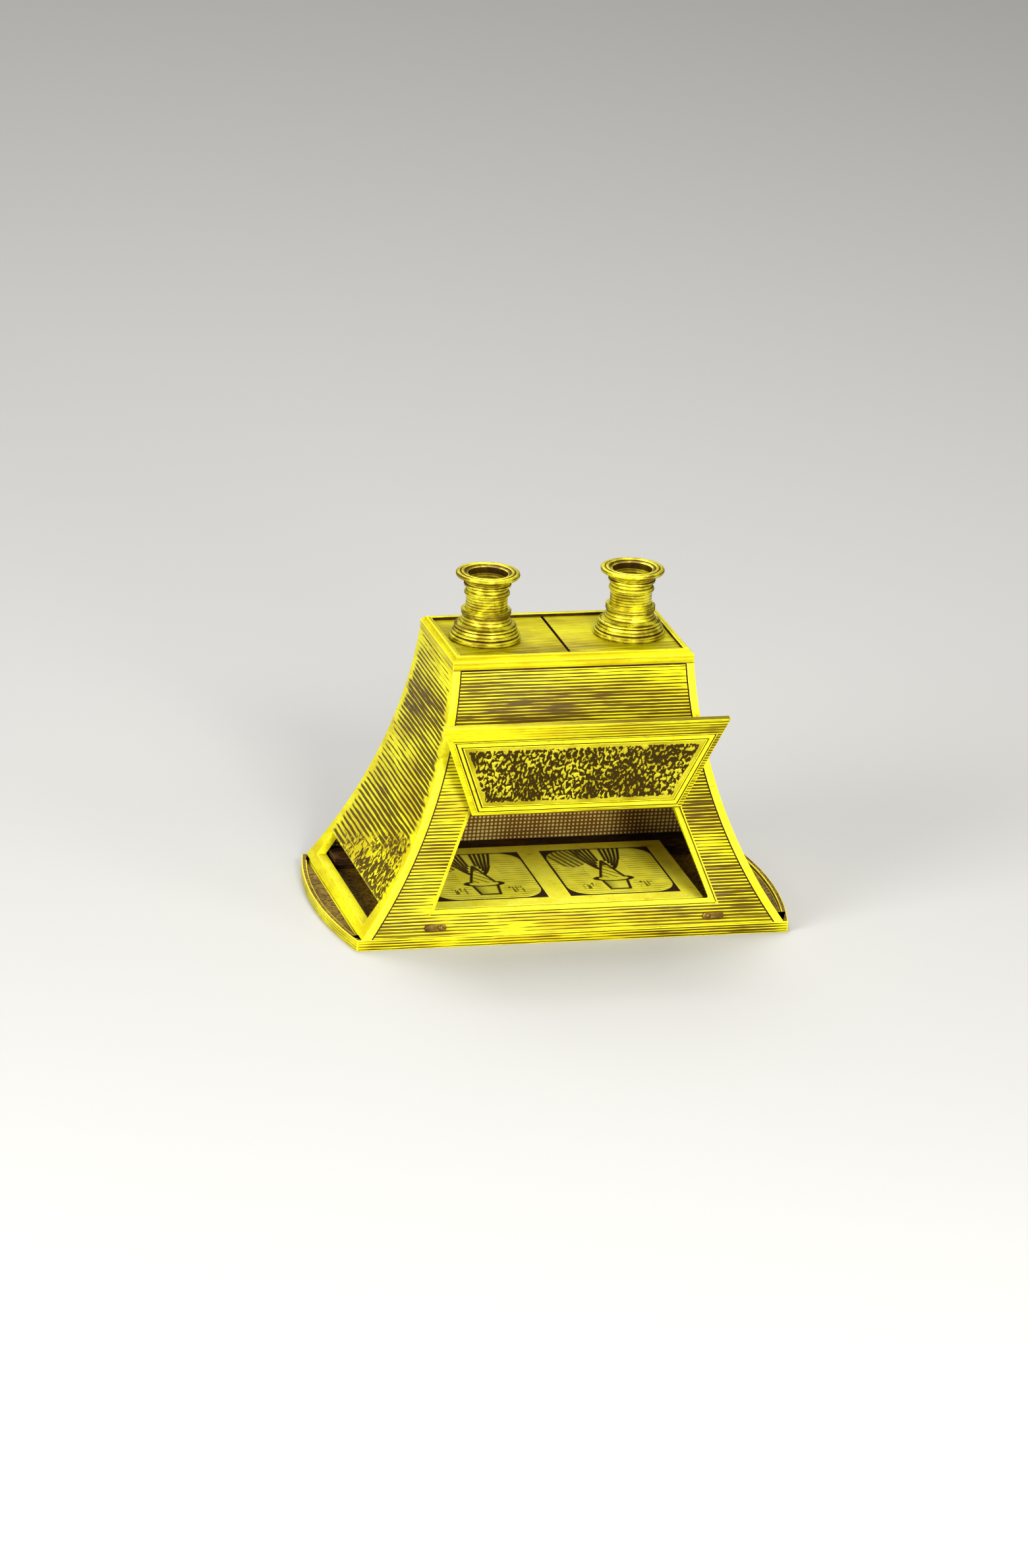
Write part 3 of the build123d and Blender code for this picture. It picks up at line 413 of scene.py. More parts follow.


# Dark glue lines at the joints. The same finish is also painted shade in recesses, gaps and under
# the rails.
glue_and_shade = stain_and_shade("glue_and_shade", rgb(0.10, 0.05, 0.008), rgb(0.03, 0.012, 0.003), (0, 0, 0), 1.2)
side_wood = satinwood("satinwood_side", (0, 0, math.pi / 2), 2.1, 1.0, highlight_near_edges, 50)
black_wood = stain_and_shade("blackened_inside", rgb(0.11, 0.055, 0.010), rgb(0.035, 0.015, 0.004),
                     (0, 0, 0), 1.6)
for name, side in (("left", -1), ("right", 1)):
    bent_side = merged_copy(name + "_side_panel", name + "_side_eased")
    for paint in (side_wood, edge_highlight_wood, black_wood, glue_and_shade):
        bent_side.data.materials.append(paint)
    # The end faces at the front and back take the light edge finish as a painted highlight.
    paint_faces(bent_side, 1, lambda middle, normal: abs(normal.y) > 0.9
                and abs(middle.y) > 44.5 - 0.2 * middle.z)
    paint_faces(bent_side, 2, lambda middle, normal: normal.x * side < -0.4)
    ease(bent_side, 0.45, 1)
    paint_faces(bent_side, 3, lambda middle, normal: abs(middle.x) < inner_face(middle.z) + 0.6
                and abs(normal.y) > 0.15 and normal.x * side < -0.15)
    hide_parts(name + "_side_panel")
    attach(bent_side, "case")


# Front and back boards: flat boards that lean in towards the top, glued between the bent
# sides. The front one has the opening for the door, with a rebate that the door shuts into.
wall_lean = math.radians(11.99)
foot_depth, foot_height = -54.0, 5.0    # the lower edge of the front board's outer face
button_offset = 60.0


def fainter_at_foot(tree, place):
    """The front's lines fade a little towards its foot."""
    height = wire(tree, "SeparateXYZ", {0: place}).outputs[2]
    return ranged(tree, height, 4 * MM, 12 * MM, 0.85, 1.0)


def clear_of_fittings(middle):
    """The arrises away from the hinges and the turn-buttons' screws."""
    by_hinge = abs(middle.x) < 36 and 53 < middle.z < 61
    by_screw = abs(abs(middle.x) - button_offset) < 2 and 6 < middle.z < 12
    return not by_hinge and not by_screw


def below_face(middle):
    """How far a place is behind the front board's outer face."""
    behind = (middle.y - foot_depth) * math.cos(wall_lean)
    return behind - (middle.z - foot_height) * math.sin(wall_lean)


front_wood = satinwood("satinwood_front", (wall_lean, 0, 0), 1.45, 1.0, fainter_at_foot)
back_wood = satinwood("satinwood_back", (-wall_lean, 0, 0), 1.5, 0.95)
for name, wood, inward in (("front", front_wood, 1), ("back", back_wood, -1)):
    wall = merged_copy(name + "_panel", name + "_board_eased")
    for paint in (wood, edge_highlight_wood, black_wood, glue_and_shade):
        wall.data.materials.append(paint)
    paint_faces(wall, 2, lambda middle, normal: normal.y * inward > 0.9)
    if name == "front":
        # The walls of the rebate that the door shuts into are painted dark as painted shade.
        paint_faces(wall, 3,
                    lambda middle, normal: 1 < below_face(middle) < 3 and abs(normal.y) < 0.8)
        # The rebate's narrow step takes the light edge finish as a painted highlight.
        paint_faces(wall, 1,
                    lambda middle, normal: 3.1 < below_face(middle) < 3.3 and normal.y < -0.8)
    ease(wall, 0.55, 1, clear_of_fittings)
    paint_faces(wall, 3, lambda middle, normal: abs(normal.y) < 0.96
                and (abs(middle.x) > inner_face(middle.z) - 0.7 or middle.z > 117.4))
    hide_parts(name + "_panel")
    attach(wall, "case")


# Linings: dark woven bookcloth glued to the inside of the back and the sides, so that no
# stray light shows in the eyepieces. Its threads cross at right angles, and their pale crossings
# are a painted highlight.
def bookcloth(name, turn, pitch):
    paint, tree, shader, place = new_finish(name)
    along = stretched(tree, place, turn, (1, 1, 1))
    threads = {"Vector": along, "Scale": one_band / (pitch * MM), "Distortion": 0.5,
               "Detail Scale": 0.3}
    warp = wire(tree, "TexWave", threads, bands_direction="X").outputs[1]
    weft = wire(tree, "TexWave", threads, bands_direction="Z").outputs[1]
    patches = cloudy(tree, place, 55.0, 3.0)
    knots = sums(tree, "ADD", sums(tree, "MULTIPLY", warp, weft),
                 ranged(tree, patches, 0.3, 0.7, -0.22, 0.12))
    # The thread crossings are drawn pale as a painted highlight.
    bright = ranged(tree, knots, 0.20, 0.42)
    ground = tinted(tree, patches, rgb(0.22, 0.10, 0.018), rgb(0.36, 0.19, 0.04))
    tree.links.new(tinted(tree, bright, ground, rgb(0.96, 0.82, 0.30)), shader.inputs["Base Color"])
    tree.links.new(ranged(tree, patches, 0.3, 0.7, 0.75, 0.9), shader.inputs["Roughness"])
    shader.inputs["Specular IOR Level"].default_value = 0.2
    bumped(tree, shader, knots, 0.25)
    return paint


for node, turn in (("back_lining", (-wall_lean, 0, 0)), ("left_lining", (0, 0, math.pi / 2)),
                   ("right_lining", (0, 0, math.pi / 2))):
    cloth = merged_copy(node, node + "_cloth")
    cloth.data.materials.append(bookcloth(node + "_weave", turn, 1.9))
    ease(cloth, 0.1)
    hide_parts(node)
    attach(cloth, "case")


# Card runners and septum: strips of blackened wood. The runners carry the card's long edges,
# and the septum hangs between the two lenses so that each eye sees only its own picture.
black_strip = stain_and_shade("blackened_strip", rgb(0.10, 0.05, 0.010), rgb(0.03, 0.012, 0.004), (0, 0, 0),
                      1.4)
for node in ("card_runner_front", "card_runner_back", "septum"):
    strip = merged_copy(node, node + "_eased")
    strip.data.materials.append(black_strip)
    ease(strip, 0.3)
    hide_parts(node)
    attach(strip, "case")


# Top rails: four mitred rails with a wide chamfer, glued round the top of the case. The side
# rails are grooved for the lens boards. The rails' lines are drawn faint, their edges are rubbed
# light with a painted highlight, and their inner faces and undersides carry painted shade.
groove_low, groove_high = 118.5, 123.2


def outside_groove(middle):
    """The rails' outer arrises. The grooves that the boards run in stay sharp."""
    by_boards = 48.3 < abs(middle.x) < 53.0 or 24.3 < abs(middle.y) < 29.0
    return not (by_boards and groove_low < middle.z < groove_high)


rail_wood = satinwood("satinwood_rail", (0, 0, 0), 2.4, 0.28)
for where in ("front", "right", "back", "left"):
    rail = merged_copy("top_rail_" + where, "top_rail_" + where + "_eased")
    for paint in (rail_wood, edge_highlight_wood, glue_and_shade):
        rail.data.materials.append(paint)
    # The rails' inner faces beside the boards are painted dark as painted shade.
    paint_faces(rail, 2,
                lambda middle, normal: abs(normal.z) < 0.1 and normal.xy.dot(middle.xy) < -10)
    ease(rail, 0.35, 1, outside_groove)
    # The faces under the rails are painted dark as painted shade.
    paint_faces(rail, 2, lambda middle, normal: middle.z < 118.4 and normal.z < -0.15
                and abs(normal.z) < 0.98)
    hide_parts("top_rail_" + where)
    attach(rail, "case")


# Lens boards: two thin boards that slide apart in the rails to suit the eyes, with a narrow
# open joint between them and a turned brass eyepiece clamped through each.
def clear_of_back(tree, place):
    """Lines are strongest on the boards' front part, where the light falls away."""
    depth = wire(tree, "SeparateXYZ", {0: place}).outputs[1]
    return ranged(tree, depth, -17 * MM, 0.0, 1.1, 0.5)


lens_board_wood = satinwood("satinwood_lens_board", (math.pi / 2, 0, 0), 1.5, 0.85, clear_of_back)
running_gap = 0.04 * MM
for name in ("left", "right"):
    lens_board = merged_copy(name + "_lens_board", name + "_lens_board_eased")
    for paint in (lens_board_wood, edge_highlight_wood, glue_and_shade):
        lens_board.data.materials.append(paint)
    ease(lens_board, 0.25, 1)
    # The faces in the open joint between the boards are painted dark as painted shade.
    paint_faces(lens_board, 2, lambda middle, normal: abs(middle.x) < 0.75)
    # Planed a hair narrow and short, so that it runs freely in the grooves
    for axis in (0, 1):
        places = [vertex.co[axis] for vertex in lens_board.data.vertices]
        low, high = min(places) + running_gap, max(places) - running_gap
        for vertex in lens_board.data.vertices:
            vertex.co[axis] = min(high, max(low, vertex.co[axis]))
    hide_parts(name + "_lens_board")
    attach(lens_board, name + "_eyepiece")


# Eyepiece feet: brass turned in a lathe to a rounded flange, a ringed bell and a collar. A
# spigot below goes through the lens board, and a round nut clamps it from underneath.
def turned(name, outline, centre, steps=96):
    """A lathe-turned piece: a closed outline of (radius, height) spun round an upright axis."""
    bpy.ops.object.select_all(action="DESELECT")
    first_radius, first_height = outline[0]
    start = (centre + first_radius * MM, 0, first_height * MM)
    bpy.ops.mesh.primitive_plane_add(size=MM, location=start)
    bpy.ops.object.transform_apply(location=True, rotation=True, scale=True)
    piece = bpy.context.object
    piece.name = name
    bpy.ops.object.mode_set(mode="EDIT")
    bpy.ops.mesh.merge(type="CENTER")
    radius, height = outline[0]
    for next_radius, next_height in outline[1:] + outline[:1]:
        move = ((next_radius - radius) * MM, 0, (next_height - height) * MM)
        bpy.ops.mesh.extrude_vertices_move(TRANSFORM_OT_translate={"value": move})
        radius, height = next_radius, next_height
    bpy.ops.mesh.select_all(action="SELECT")
    bpy.ops.mesh.remove_doubles(threshold=0.001 * MM)
    bpy.ops.mesh.spin(steps=steps, angle=2 * math.pi, center=(centre, 0, 0), axis=(0, 0, 1))
    bpy.ops.mesh.select_all(action="SELECT")
    bpy.ops.mesh.remove_doubles(threshold=0.002 * MM)
    bpy.ops.mesh.normals_make_consistent(inside=False)
    bpy.ops.object.mode_set(mode="OBJECT")
    bpy.ops.object.shade_smooth_by_angle(angle=math.radians(32))
    return piece


def tarnish_grooves(piece, centre, floor_level, grooves):
    """Gives the tarnish in slot 1 to the sunk rings, listed by widest radius, low and high edge."""
    for radius, low, high in grooves:
        paint_faces(piece, 1, lambda middle, normal: low < middle.z - floor_level < high
                    and math.hypot(middle.x - centre / MM, middle.y) < radius)


def bow(start, end, sag, count):
    """Points of a shallow curve from start to end, standing out to its left by sag."""
    points = []
    across = (start[1] - end[1], end[0] - start[0])
    length = math.hypot(across[0], across[1])
    for step in range(1, count):
        share = step / count
        lift = 4 * share * (1 - share) * sag / length
        points.append((start[0] + (end[0] - start[0]) * share + across[0] * lift,
                       start[1] + (end[1] - start[1]) * share + across[1] * lift))
    return [start] + points + [end]


def brass(name, ring_pitch=0.0, light=rgb(0.74, 0.68, 0.035), dull=rgb(0.36, 0.29, 0.012),
          turn=(0, 0, 0)):
    """Lacquered brass with soft tarnish, fine scratches and, on turned pieces, fine tool rings."""
    paint, tree, shader, place = new_finish(name)
    tarnish = cloudy(tree, place, 130.0, 4.0, 0.6)
    scratches = cloudy(tree, stretched(tree, place, turn, (220, 220, 3600)), 1.0, 2.0)
    specks = cloudy(tree, place, 900.0, 2.0)
    ground = tinted(tree, ranged(tree, tarnish, 0.36, 0.66), light, dull)
    height = scratches
    if ring_pitch:
        tool_marks = {"Vector": place, "Scale": one_band / (ring_pitch * MM), "Distortion": 0.8,
                      "Detail": 1.0, "Detail Scale": 0.15}
        rings = wire(tree, "TexWave", tool_marks, bands_direction="Z").outputs[1]
        weight = sums(tree, "ADD", rings, ranged(tree, tarnish, 0.3, 0.7, -0.35, 0.2))
        dark = ranged(tree, weight, 0.5, 0.85)
        ground = tinted(tree, sums(tree, "MULTIPLY", dark, 0.85), ground, rgb(0.11, 0.06, 0.004))
        height = sums(tree, "SUBTRACT", scratches, sums(tree, "MULTIPLY", dark, 0.8))
    colour = tinted(tree, ranged(tree, specks, 0.60, 0.70, 0.0, 0.6), ground,
                    rgb(0.17, 0.11, 0.008))
    tree.links.new(colour, shader.inputs["Base Color"])
    tree.links.new(ranged(tree, tarnish, 0.3, 0.7, 0.30, 0.46), shader.inputs["Roughness"])
    shader.inputs["Metallic"].default_value = 0.6
    shader.inputs["Specular IOR Level"].default_value = 0.3
    bumped(tree, shader, height, 0.02)
    return paint


lens_centre = 0.0325
board_top = 122.35
foot_outline = (
    bow((14.9, 0.0), (15.75, 1.3), -0.3, 4) + bow((15.75, 1.5), (14.9, 2.6), -0.25, 5)
    + [(14.55, 2.75), (14.5, 3.2)] + bow((14.85, 3.35), (14.5, 4.0), -0.15, 3)
    + bow((14.3, 4.1), (13.75, 5.7), 0.15, 4) + [(13.5, 5.8), (13.5, 6.1)]
    + bow((13.8, 6.2), (13.1, 6.9), -0.2, 4) + bow((13.0, 6.95), (10.45, 11.0), 0.75, 9)
    + [(10.3, 11.2), (10.3, 11.6)] + bow((10.65, 11.7), (10.65, 12.5), -0.28, 5)
    + [(10.3, 12.6), (10.3, 12.8)] + bow((10.7, 12.9), (10.5, 13.9), -0.3, 5)
    + [(9.35, 13.9), (9.15, 13.7), (9.15, -5.2), (10.75, -5.2), (10.95, -5.0), (10.95, 0.0)]
)
foot_grooves = [(14.75, 2.65, 3.3), (13.7, 5.72, 6.15), (10.5, 11.1, 11.68), (10.5, 12.55, 12.85)]
eyepiece_brass = brass("brass_turned", 1.3)
tarnish = brass("brass_tarnish", 0.0, rgb(0.13, 0.08, 0.008), rgb(0.05, 0.025, 0.004))
nut_brass = brass("brass_nut", 0.6)
for name, centre in (("left", -lens_centre), ("right", lens_centre)):
    foot = turned(name + "_foot_turned", [(r, h + board_top) for r, h in foot_outline], centre)
    foot.data.materials.append(eyepiece_brass)
    foot.data.materials.append(tarnish)
    tarnish_grooves(foot, centre, board_top, foot_grooves)
    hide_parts(name + "_eyepiece_foot")
    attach(foot, name + "_eyepiece")
    nut = merged_copy(name + "_foot_nut", name + "_foot_nut_eased")
    nut.data.materials.append(nut_brass)
    ease(nut, 0.25)
    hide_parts(name + "_foot_nut")
    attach(nut, name + "_eyepiece")
    guide_pin = merged_copy(name + "_guide_pin", name + "_guide_pin_eased")
    guide_pin.data.materials.append(nut_brass)
    ease(guide_pin, 0.12)
    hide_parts(name + "_guide_pin")
    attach(guide_pin, name + "_eyepiece")


# Draw tubes: thin brass tube with a raised double ring, which slides in the foot to focus.
# Eye rims: trumpet-shaped rims turned from thick brass and soldered over the tubes' tops.
rim_outline = (
    [(9.1, 24.4), (10.1, 24.4)] + bow((10.3, 24.55), (10.3, 25.5), -0.1, 3) + [(9.95, 25.65)]
    + bow((9.9, 25.8), (13.3, 28.6), 0.75, 9) + bow((13.6, 28.7), (13.95, 29.3), -0.12, 3)
    + bow((14.0, 29.4), (12.9, 30.6), -0.42, 6)
    + [(12.3, 30.55), (12.15, 30.25), (11.8, 30.25), (11.65, 30.5)]
    + bow((11.6, 30.6), (10.5, 30.6), -0.1, 4) + bow((10.3, 30.45), (8.75, 29.7), 0.15, 4)
    + [(8.6, 29.5), (8.6, 27.0), (9.1, 27.0)]
)
rim_brass = brass("brass_rim", 1.1)
for name, centre in (("left", -lens_centre), ("right", lens_centre)):
    tube = merged_copy(name + "_draw_tube", name + "_draw_tube_eased")
    tube.data.materials.append(eyepiece_brass)
    tube.data.materials.append(tarnish)
    ease(tube, 0.25)
    tarnish_grooves(tube, centre, board_top, [(9.5, 19.6, 20.1), (9.5, 22.35, 22.8)])
    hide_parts(name + "_draw_tube")
    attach(tube, name + "_tube")
    rim = turned(name + "_rim_turned", [(r, h + board_top) for r, h in rim_outline], centre)
    rim.data.materials.append(rim_brass)
    rim.data.materials.append(tarnish)
    tarnish_grooves(rim, centre, board_top,
                    [(10.2, 25.4, 25.75), (12.2, 30.2, 30.4), (8.8, 26.9, 29.6)])
    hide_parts(name + "_eye_rim")
    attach(rim, name + "_tube")


# Lenses: plano-convex lenses of clear glass, with a faint warm tint and a little dust, each
# held low in its tube between two spring rings of blackened brass.
def lens_glass(name):
    paint, tree, shader, place = new_finish(name)
    dust = cloudy(tree, place, 700.0, 3.0)
    tree.links.new(tinted(tree, dust, rgb(0.97, 0.97, 0.92), rgb(0.90, 0.90, 0.82)),
                   shader.inputs["Base Color"])
    tree.links.new(ranged(tree, dust, 0.45, 0.8, 0.01, 0.12), shader.inputs["Roughness"])
    shader.inputs["Transmission Weight"].default_value = 1.0
    shader.inputs["IOR"].default_value = 1.5
    return paint


clear_lens = lens_glass("lens_glass")
ring_brass = brass("brass_darkened", 0.0, rgb(0.16, 0.10, 0.012), rgb(0.06, 0.035, 0.005))
for name in ("left", "right"):
    lens = merged_copy(name + "_lens", name + "_lens_polished")
    lens.data.materials.append(clear_lens)
    ease(lens, 0.1)
    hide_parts(name + "_lens")
    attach(lens, name + "_tube")
    lens_rings = merged_copy(name + "_lens_rings", name + "_lens_rings_eased")
    lens_rings.data.materials.append(ring_brass)
    ease(lens_rings, 0.12)
    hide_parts(name + "_lens_rings")
    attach(lens_rings, name + "_tube")


# Door: a thin board, wider at its free edge, that hangs on two brass hinges and opens out to
# throw light on the card. Its grain runs with the hinge, and its edges are rubbed light with a
# painted highlight.
door_lean = math.radians(12.5)
hinge_axis = Vector((0, -43.45988, 58.47706))
door_out = Vector((0, -math.cos(door_lean), -math.sin(door_lean)))
door_up = Vector((0, -math.sin(door_lean), math.cos(door_lean)))


def door_point(across, along, above):
    """A place on the door: across it, along it from the hinge, and above its hinge axis plane."""
    return (hinge_axis + Vector((across, 0, 0)) + door_up * along + door_out * above) * MM


def strong_at_free_edge(tree, place):
    """Lines are darkest on the wide margin at the door's free edge, on the right."""
    across = wire(tree, "SeparateXYZ", {0: place}).outputs[0]
    return ranged(tree, across, -45 * MM, 20 * MM, 0.3, 1.0)


door_wood = satinwood("satinwood_door", (-door_lean, 0, 0), 1.3, 0.85, strong_at_free_edge)
door_board = merged_copy("door_board", "door_board_eased")
door_board.data.materials.append(door_wood)
door_board.data.materials.append(edge_highlight_wood)
ease(door_board, 0.4, 1, lambda middle: (middle - hinge_axis).dot(door_up) > 4)
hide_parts("door_board")
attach(door_board, "door")


# Bead frame: a small moulding planed with two quirks, which are filled with dark wax. It is
# mitred and glued round the reflector.
board_face = 3.8                # above the hinge axis
foot_half_width, opening_length = 64.6, 45.0
flank_slope = 0.388521          # how fast the door narrows towards its hinge
flank_stretch = 1.072817        # of a distance square to the slanted edge, read level


def door_half_width(along, inset):
    """Half width of the door at a distance from its hinge, inset square to the slanted edge."""
    return foot_half_width - (opening_length - along) * flank_slope - inset * flank_stretch


def above_board(middle):
    return (middle - hinge_axis).dot(door_out) - board_face


bpy.ops.object.select_all(action="DESELECT")
bpy.ops.mesh.primitive_plane_add(size=MM)
bead_frame = bpy.context.object
bead_frame.name = "reflector_bead_moulded"
frame_near, frame_far = 1.9, 38.1       # from the hinge
frame_inset, frame_width, frame_rise = 2.8, 3.4, 0.6
near_width = door_half_width(frame_near, frame_inset)
far_width = door_half_width(frame_far, frame_inset)
corners = [(-near_width, frame_near), (near_width, frame_near), (-far_width, frame_far),
           (far_width, frame_far)]
for vertex, (across, along) in zip(bead_frame.data.vertices, corners):
    vertex.co = door_point(across, along, board_face)
# Each step of the moulding, from its outside in: how far inwards and how far up
quirk_profile = [
    (0.35, 0.0), (0.1, -0.45), (0.5, 0.0), (0.1, 0.75), (0.15, 0.35), (0.2, 0.2), (0.25, 0.05),
    (0.25, -0.05), (0.2, -0.2), (0.15, -0.35), (0.1, -0.75), (0.5, 0.0), (0.1, 0.45), (0.45, 0.0),
]
bpy.ops.object.mode_set(mode="EDIT")
bpy.ops.mesh.select_all(action="SELECT")
bpy.ops.mesh.extrude_region_move(TRANSFORM_OT_translate={"value": door_out * frame_rise * MM})
for inward, raised in quirk_profile:
    bpy.ops.mesh.inset(thickness=inward * MM, depth=0)
    if raised:
        bpy.ops.transform.translate(value=door_out * raised * MM)
bpy.ops.mesh.extrude_region_move(TRANSFORM_OT_translate={"value": door_out * -frame_rise * MM})
bpy.ops.mesh.select_all(action="DESELECT")
bpy.ops.object.mode_set(mode="OBJECT")
field_area = 800 * MM * MM      # less than the two faces that fill the frame
for face in bead_frame.data.polygons:
    face.select = face.area > field_area
bpy.ops.object.mode_set(mode="EDIT")
bpy.ops.mesh.delete(type="FACE")
bpy.ops.mesh.select_non_manifold()
bpy.ops.mesh.bridge_edge_loops()
bpy.ops.mesh.select_all(action="SELECT")
bpy.ops.mesh.normals_make_consistent(inside=False)
bpy.ops.object.mode_set(mode="OBJECT")
quirk_wax = stain_and_shade("quirk_wax", rgb(0.11, 0.065, 0.008), rgb(0.035, 0.015, 0.003), (0, 0, 0), 1.2)
bead_frame.data.materials.append(edge_highlight_wood)
bead_frame.data.materials.append(quirk_wax)
paint_faces(bead_frame, 1,
            lambda middle, normal: above_board(middle) < 0.5 and abs(normal.dot(door_out)) < 0.9)
paint_faces(bead_frame, 1, lambda middle, normal: 0.05 < above_board(middle) < 0.3)
bpy.ops.object.shade_smooth_by_angle(angle=math.radians(38))
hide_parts("reflector_bead_hinge", "reflector_bead_right", "reflector_bead_free",
            "reflector_bead_left")
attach(bead_frame, "door")


# Reflector: a stiff sheet faced with brass leaf that is crinkled by hand, so that it throws a
# soft light. It is pressed flat along its edges, and the creases have tarnished dark.
def crease(across, along):
    """Height of the crinkles at a place on the sheet, from 0 in a crease to 1."""
    spot = Vector((across * 0.62, along * 0.36, 0))
    wander = noise.noise(spot * 0.9 + Vector((7, 3, 1)))
    ridge = noise.noise(Vector((spot.x * 1.55 + wander * 0.9, spot.y * 1.5 + wander * 0.5, 2.0)))
    fine = noise.noise(Vector((spot.x * 3.4, spot.y * 2.6, 8.0)))
    return min(1.0, max(0.0, 0.5 + 0.95 * ridge + 0.35 * fine))


sheet_columns = 240
sheet_rows = 92
sheet_near, sheet_far = frame_near + frame_width, frame_far - frame_width
bpy.ops.object.select_all(action="DESELECT")
bpy.ops.mesh.primitive_grid_add(x_subdivisions=sheet_columns, y_subdivisions=sheet_rows, size=2)
sheet = bpy.context.object
sheet.name = "reflector_crinkled"
crinkles = sheet.data.attributes.new("crinkle", "FLOAT", "POINT")
for index, vertex in enumerate(sheet.data.vertices):
    along = sheet_near + (vertex.co.y + 1) / 2 * (sheet_far - sheet_near)
    half_width = door_half_width(along, frame_inset + frame_width)
    across = vertex.co.x * half_width
    margin = min(half_width - abs(across), along - sheet_near, sheet_far - along)
    share = min(1.0, max(0.0, (margin - 1.1
                               - 0.4 * noise.noise(Vector((across * 0.3, along * 0.3, 5)))) / 0.9))
    height = crease(across, along)
    crinkles.data[index].value = 1.0 - share * (1.0 - height)
    vertex.co = door_point(across, along, board_face + 0.42 + share * (0.38 * height - 0.15))
bpy.ops.object.mode_set(mode="EDIT")
bpy.ops.mesh.select_all(action="SELECT")
bpy.ops.mesh.extrude_region_move(TRANSFORM_OT_translate={"value": door_out * -0.25 * MM})
bpy.ops.mesh.select_all(action="SELECT")
bpy.ops.mesh.normals_make_consistent(inside=False)
bpy.ops.object.mode_set(mode="OBJECT")
bpy.ops.object.shade_smooth_by_angle(angle=math.radians(30))
leaf, tree, shader, place = new_finish("brass_leaf")
crinkle = wire(tree, "Attribute", attribute_name="crinkle").outputs["Fac"]
tone = cloudy(tree, place, 60.0, 3.0)
grit = cloudy(tree, place, 1300.0, 2.0)
weight = sums(tree, "ADD", crinkle, ranged(tree, grit, 0.3, 0.7, -0.12, 0.12))
weight = sums(tree, "ADD", weight, ranged(tree, tone, 0.3, 0.7, -0.12, 0.1))
bright = ranged(tree, weight, 0.53, 0.72)
leaf_light = tinted(tree, ranged(tree, tone, 0.35, 0.65), rgb(0.40, 0.33, 0.012),
                    rgb(0.64, 0.57, 0.035))
tree.links.new(tinted(tree, bright, rgb(0.055, 0.035, 0.003), leaf_light),
               shader.inputs["Base Color"])
tree.links.new(ranged(tree, grit, 0.3, 0.7, 0.30, 0.48), shader.inputs["Roughness"])
shader.inputs["Metallic"].default_value = 0.5
shader.inputs["Specular IOR Level"].default_value = 0.2
bumped(tree, shader, grit, 0.04)
sheet.data.materials.append(leaf)
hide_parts("reflector")
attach(sheet, "door")


# Door hinges: two small brass butt hinges, let into the edges of the door and the case, each
# with a pin through its knuckles and two countersunk screws in each leaf.
fitting_brass = brass("brass_fitting", 0.0, turn=(0, math.pi / 2, 0))
for node, body in (
    ("case_hinge_leaves", "case"), ("case_hinge_screws", "case"), ("hinge_pins", "case"),
    ("door_hinge_leaves", "door"), ("door_hinge_screws", "door"), ("door_knob", "door"),
):
    fitting = merged_copy(node, node + "_eased")
    fitting.data.materials.append(fitting_brass)
    ease(fitting, 0.08)
    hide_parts(node)
    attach(fitting, body)


# Turn-buttons: flat brass tongues that turn up over the shut door. Each is held by a
# round-headed screw with a cut slot, driven into the front board.
for name in ("left", "right"):
    button = merged_copy(name + "_turn_button", name + "_turn_button_eased")
    button.data.materials.append(ring_brass)
    ease(button, 0.22)
    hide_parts(name + "_turn_button")
    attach(button, name + "_button")
screw_outline = ([(0.0, -4.0), (0.7, -3.4), (0.7, 1.3), (1.3, 1.3)]
                 + bow((1.3, 1.45), (0.5, 1.95), -0.14, 5)
                 + [(0.0, 2.0)])
slot_length, slot_width, slot_depth = 3.4, 0.42, 0.9
screw_rise = 4.2        # up the front board from its foot
screws = []
for side in (-1, 1):
    screw = turned("button_screw", screw_outline, 0.0, 32)
    bpy.ops.mesh.primitive_cube_add(size=MM, location=(0, 0, 1.95 * MM))
    slot_cut = bpy.context.object
    slot_cut.scale = (slot_length, slot_width, slot_depth)
    slot_cut.rotation_euler = (0, 0, math.radians(35 * side))
    bpy.ops.object.select_all(action="DESELECT")
    bpy.context.view_layer.objects.active = screw
    screw.select_set(True)
    cut = screw.modifiers.new("slot", "BOOLEAN")
    cut.operation = "DIFFERENCE"
    cut.object = slot_cut
    bpy.ops.object.modifier_apply(modifier="slot")
    bpy.data.objects.remove(slot_cut)
    up_slope = Vector((0, math.sin(wall_lean), math.cos(wall_lean)))
    outward = Vector((0, -math.cos(wall_lean), math.sin(wall_lean)))
    stand = Matrix((Vector((1, 0, 0)), up_slope, outward)).transposed().to_4x4()
    pivot = Vector((button_offset * side, foot_depth, foot_height)) + screw_rise * up_slope
    screw.matrix_world = Matrix.Translation(pivot * MM) @ stand
    bpy.ops.object.transform_apply(location=True, rotation=True, scale=True)
    screw.data.materials.append(ring_brass)
    screws.append(screw)
bpy.ops.object.select_all(action="DESELECT")
for screw in screws:
    screw.select_set(True)
bpy.context.view_layer.objects.active = screws[0]
bpy.ops.object.join()
screws[0].name = "button_screws_slotted"
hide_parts("button_screws")
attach(screws[0], "case")


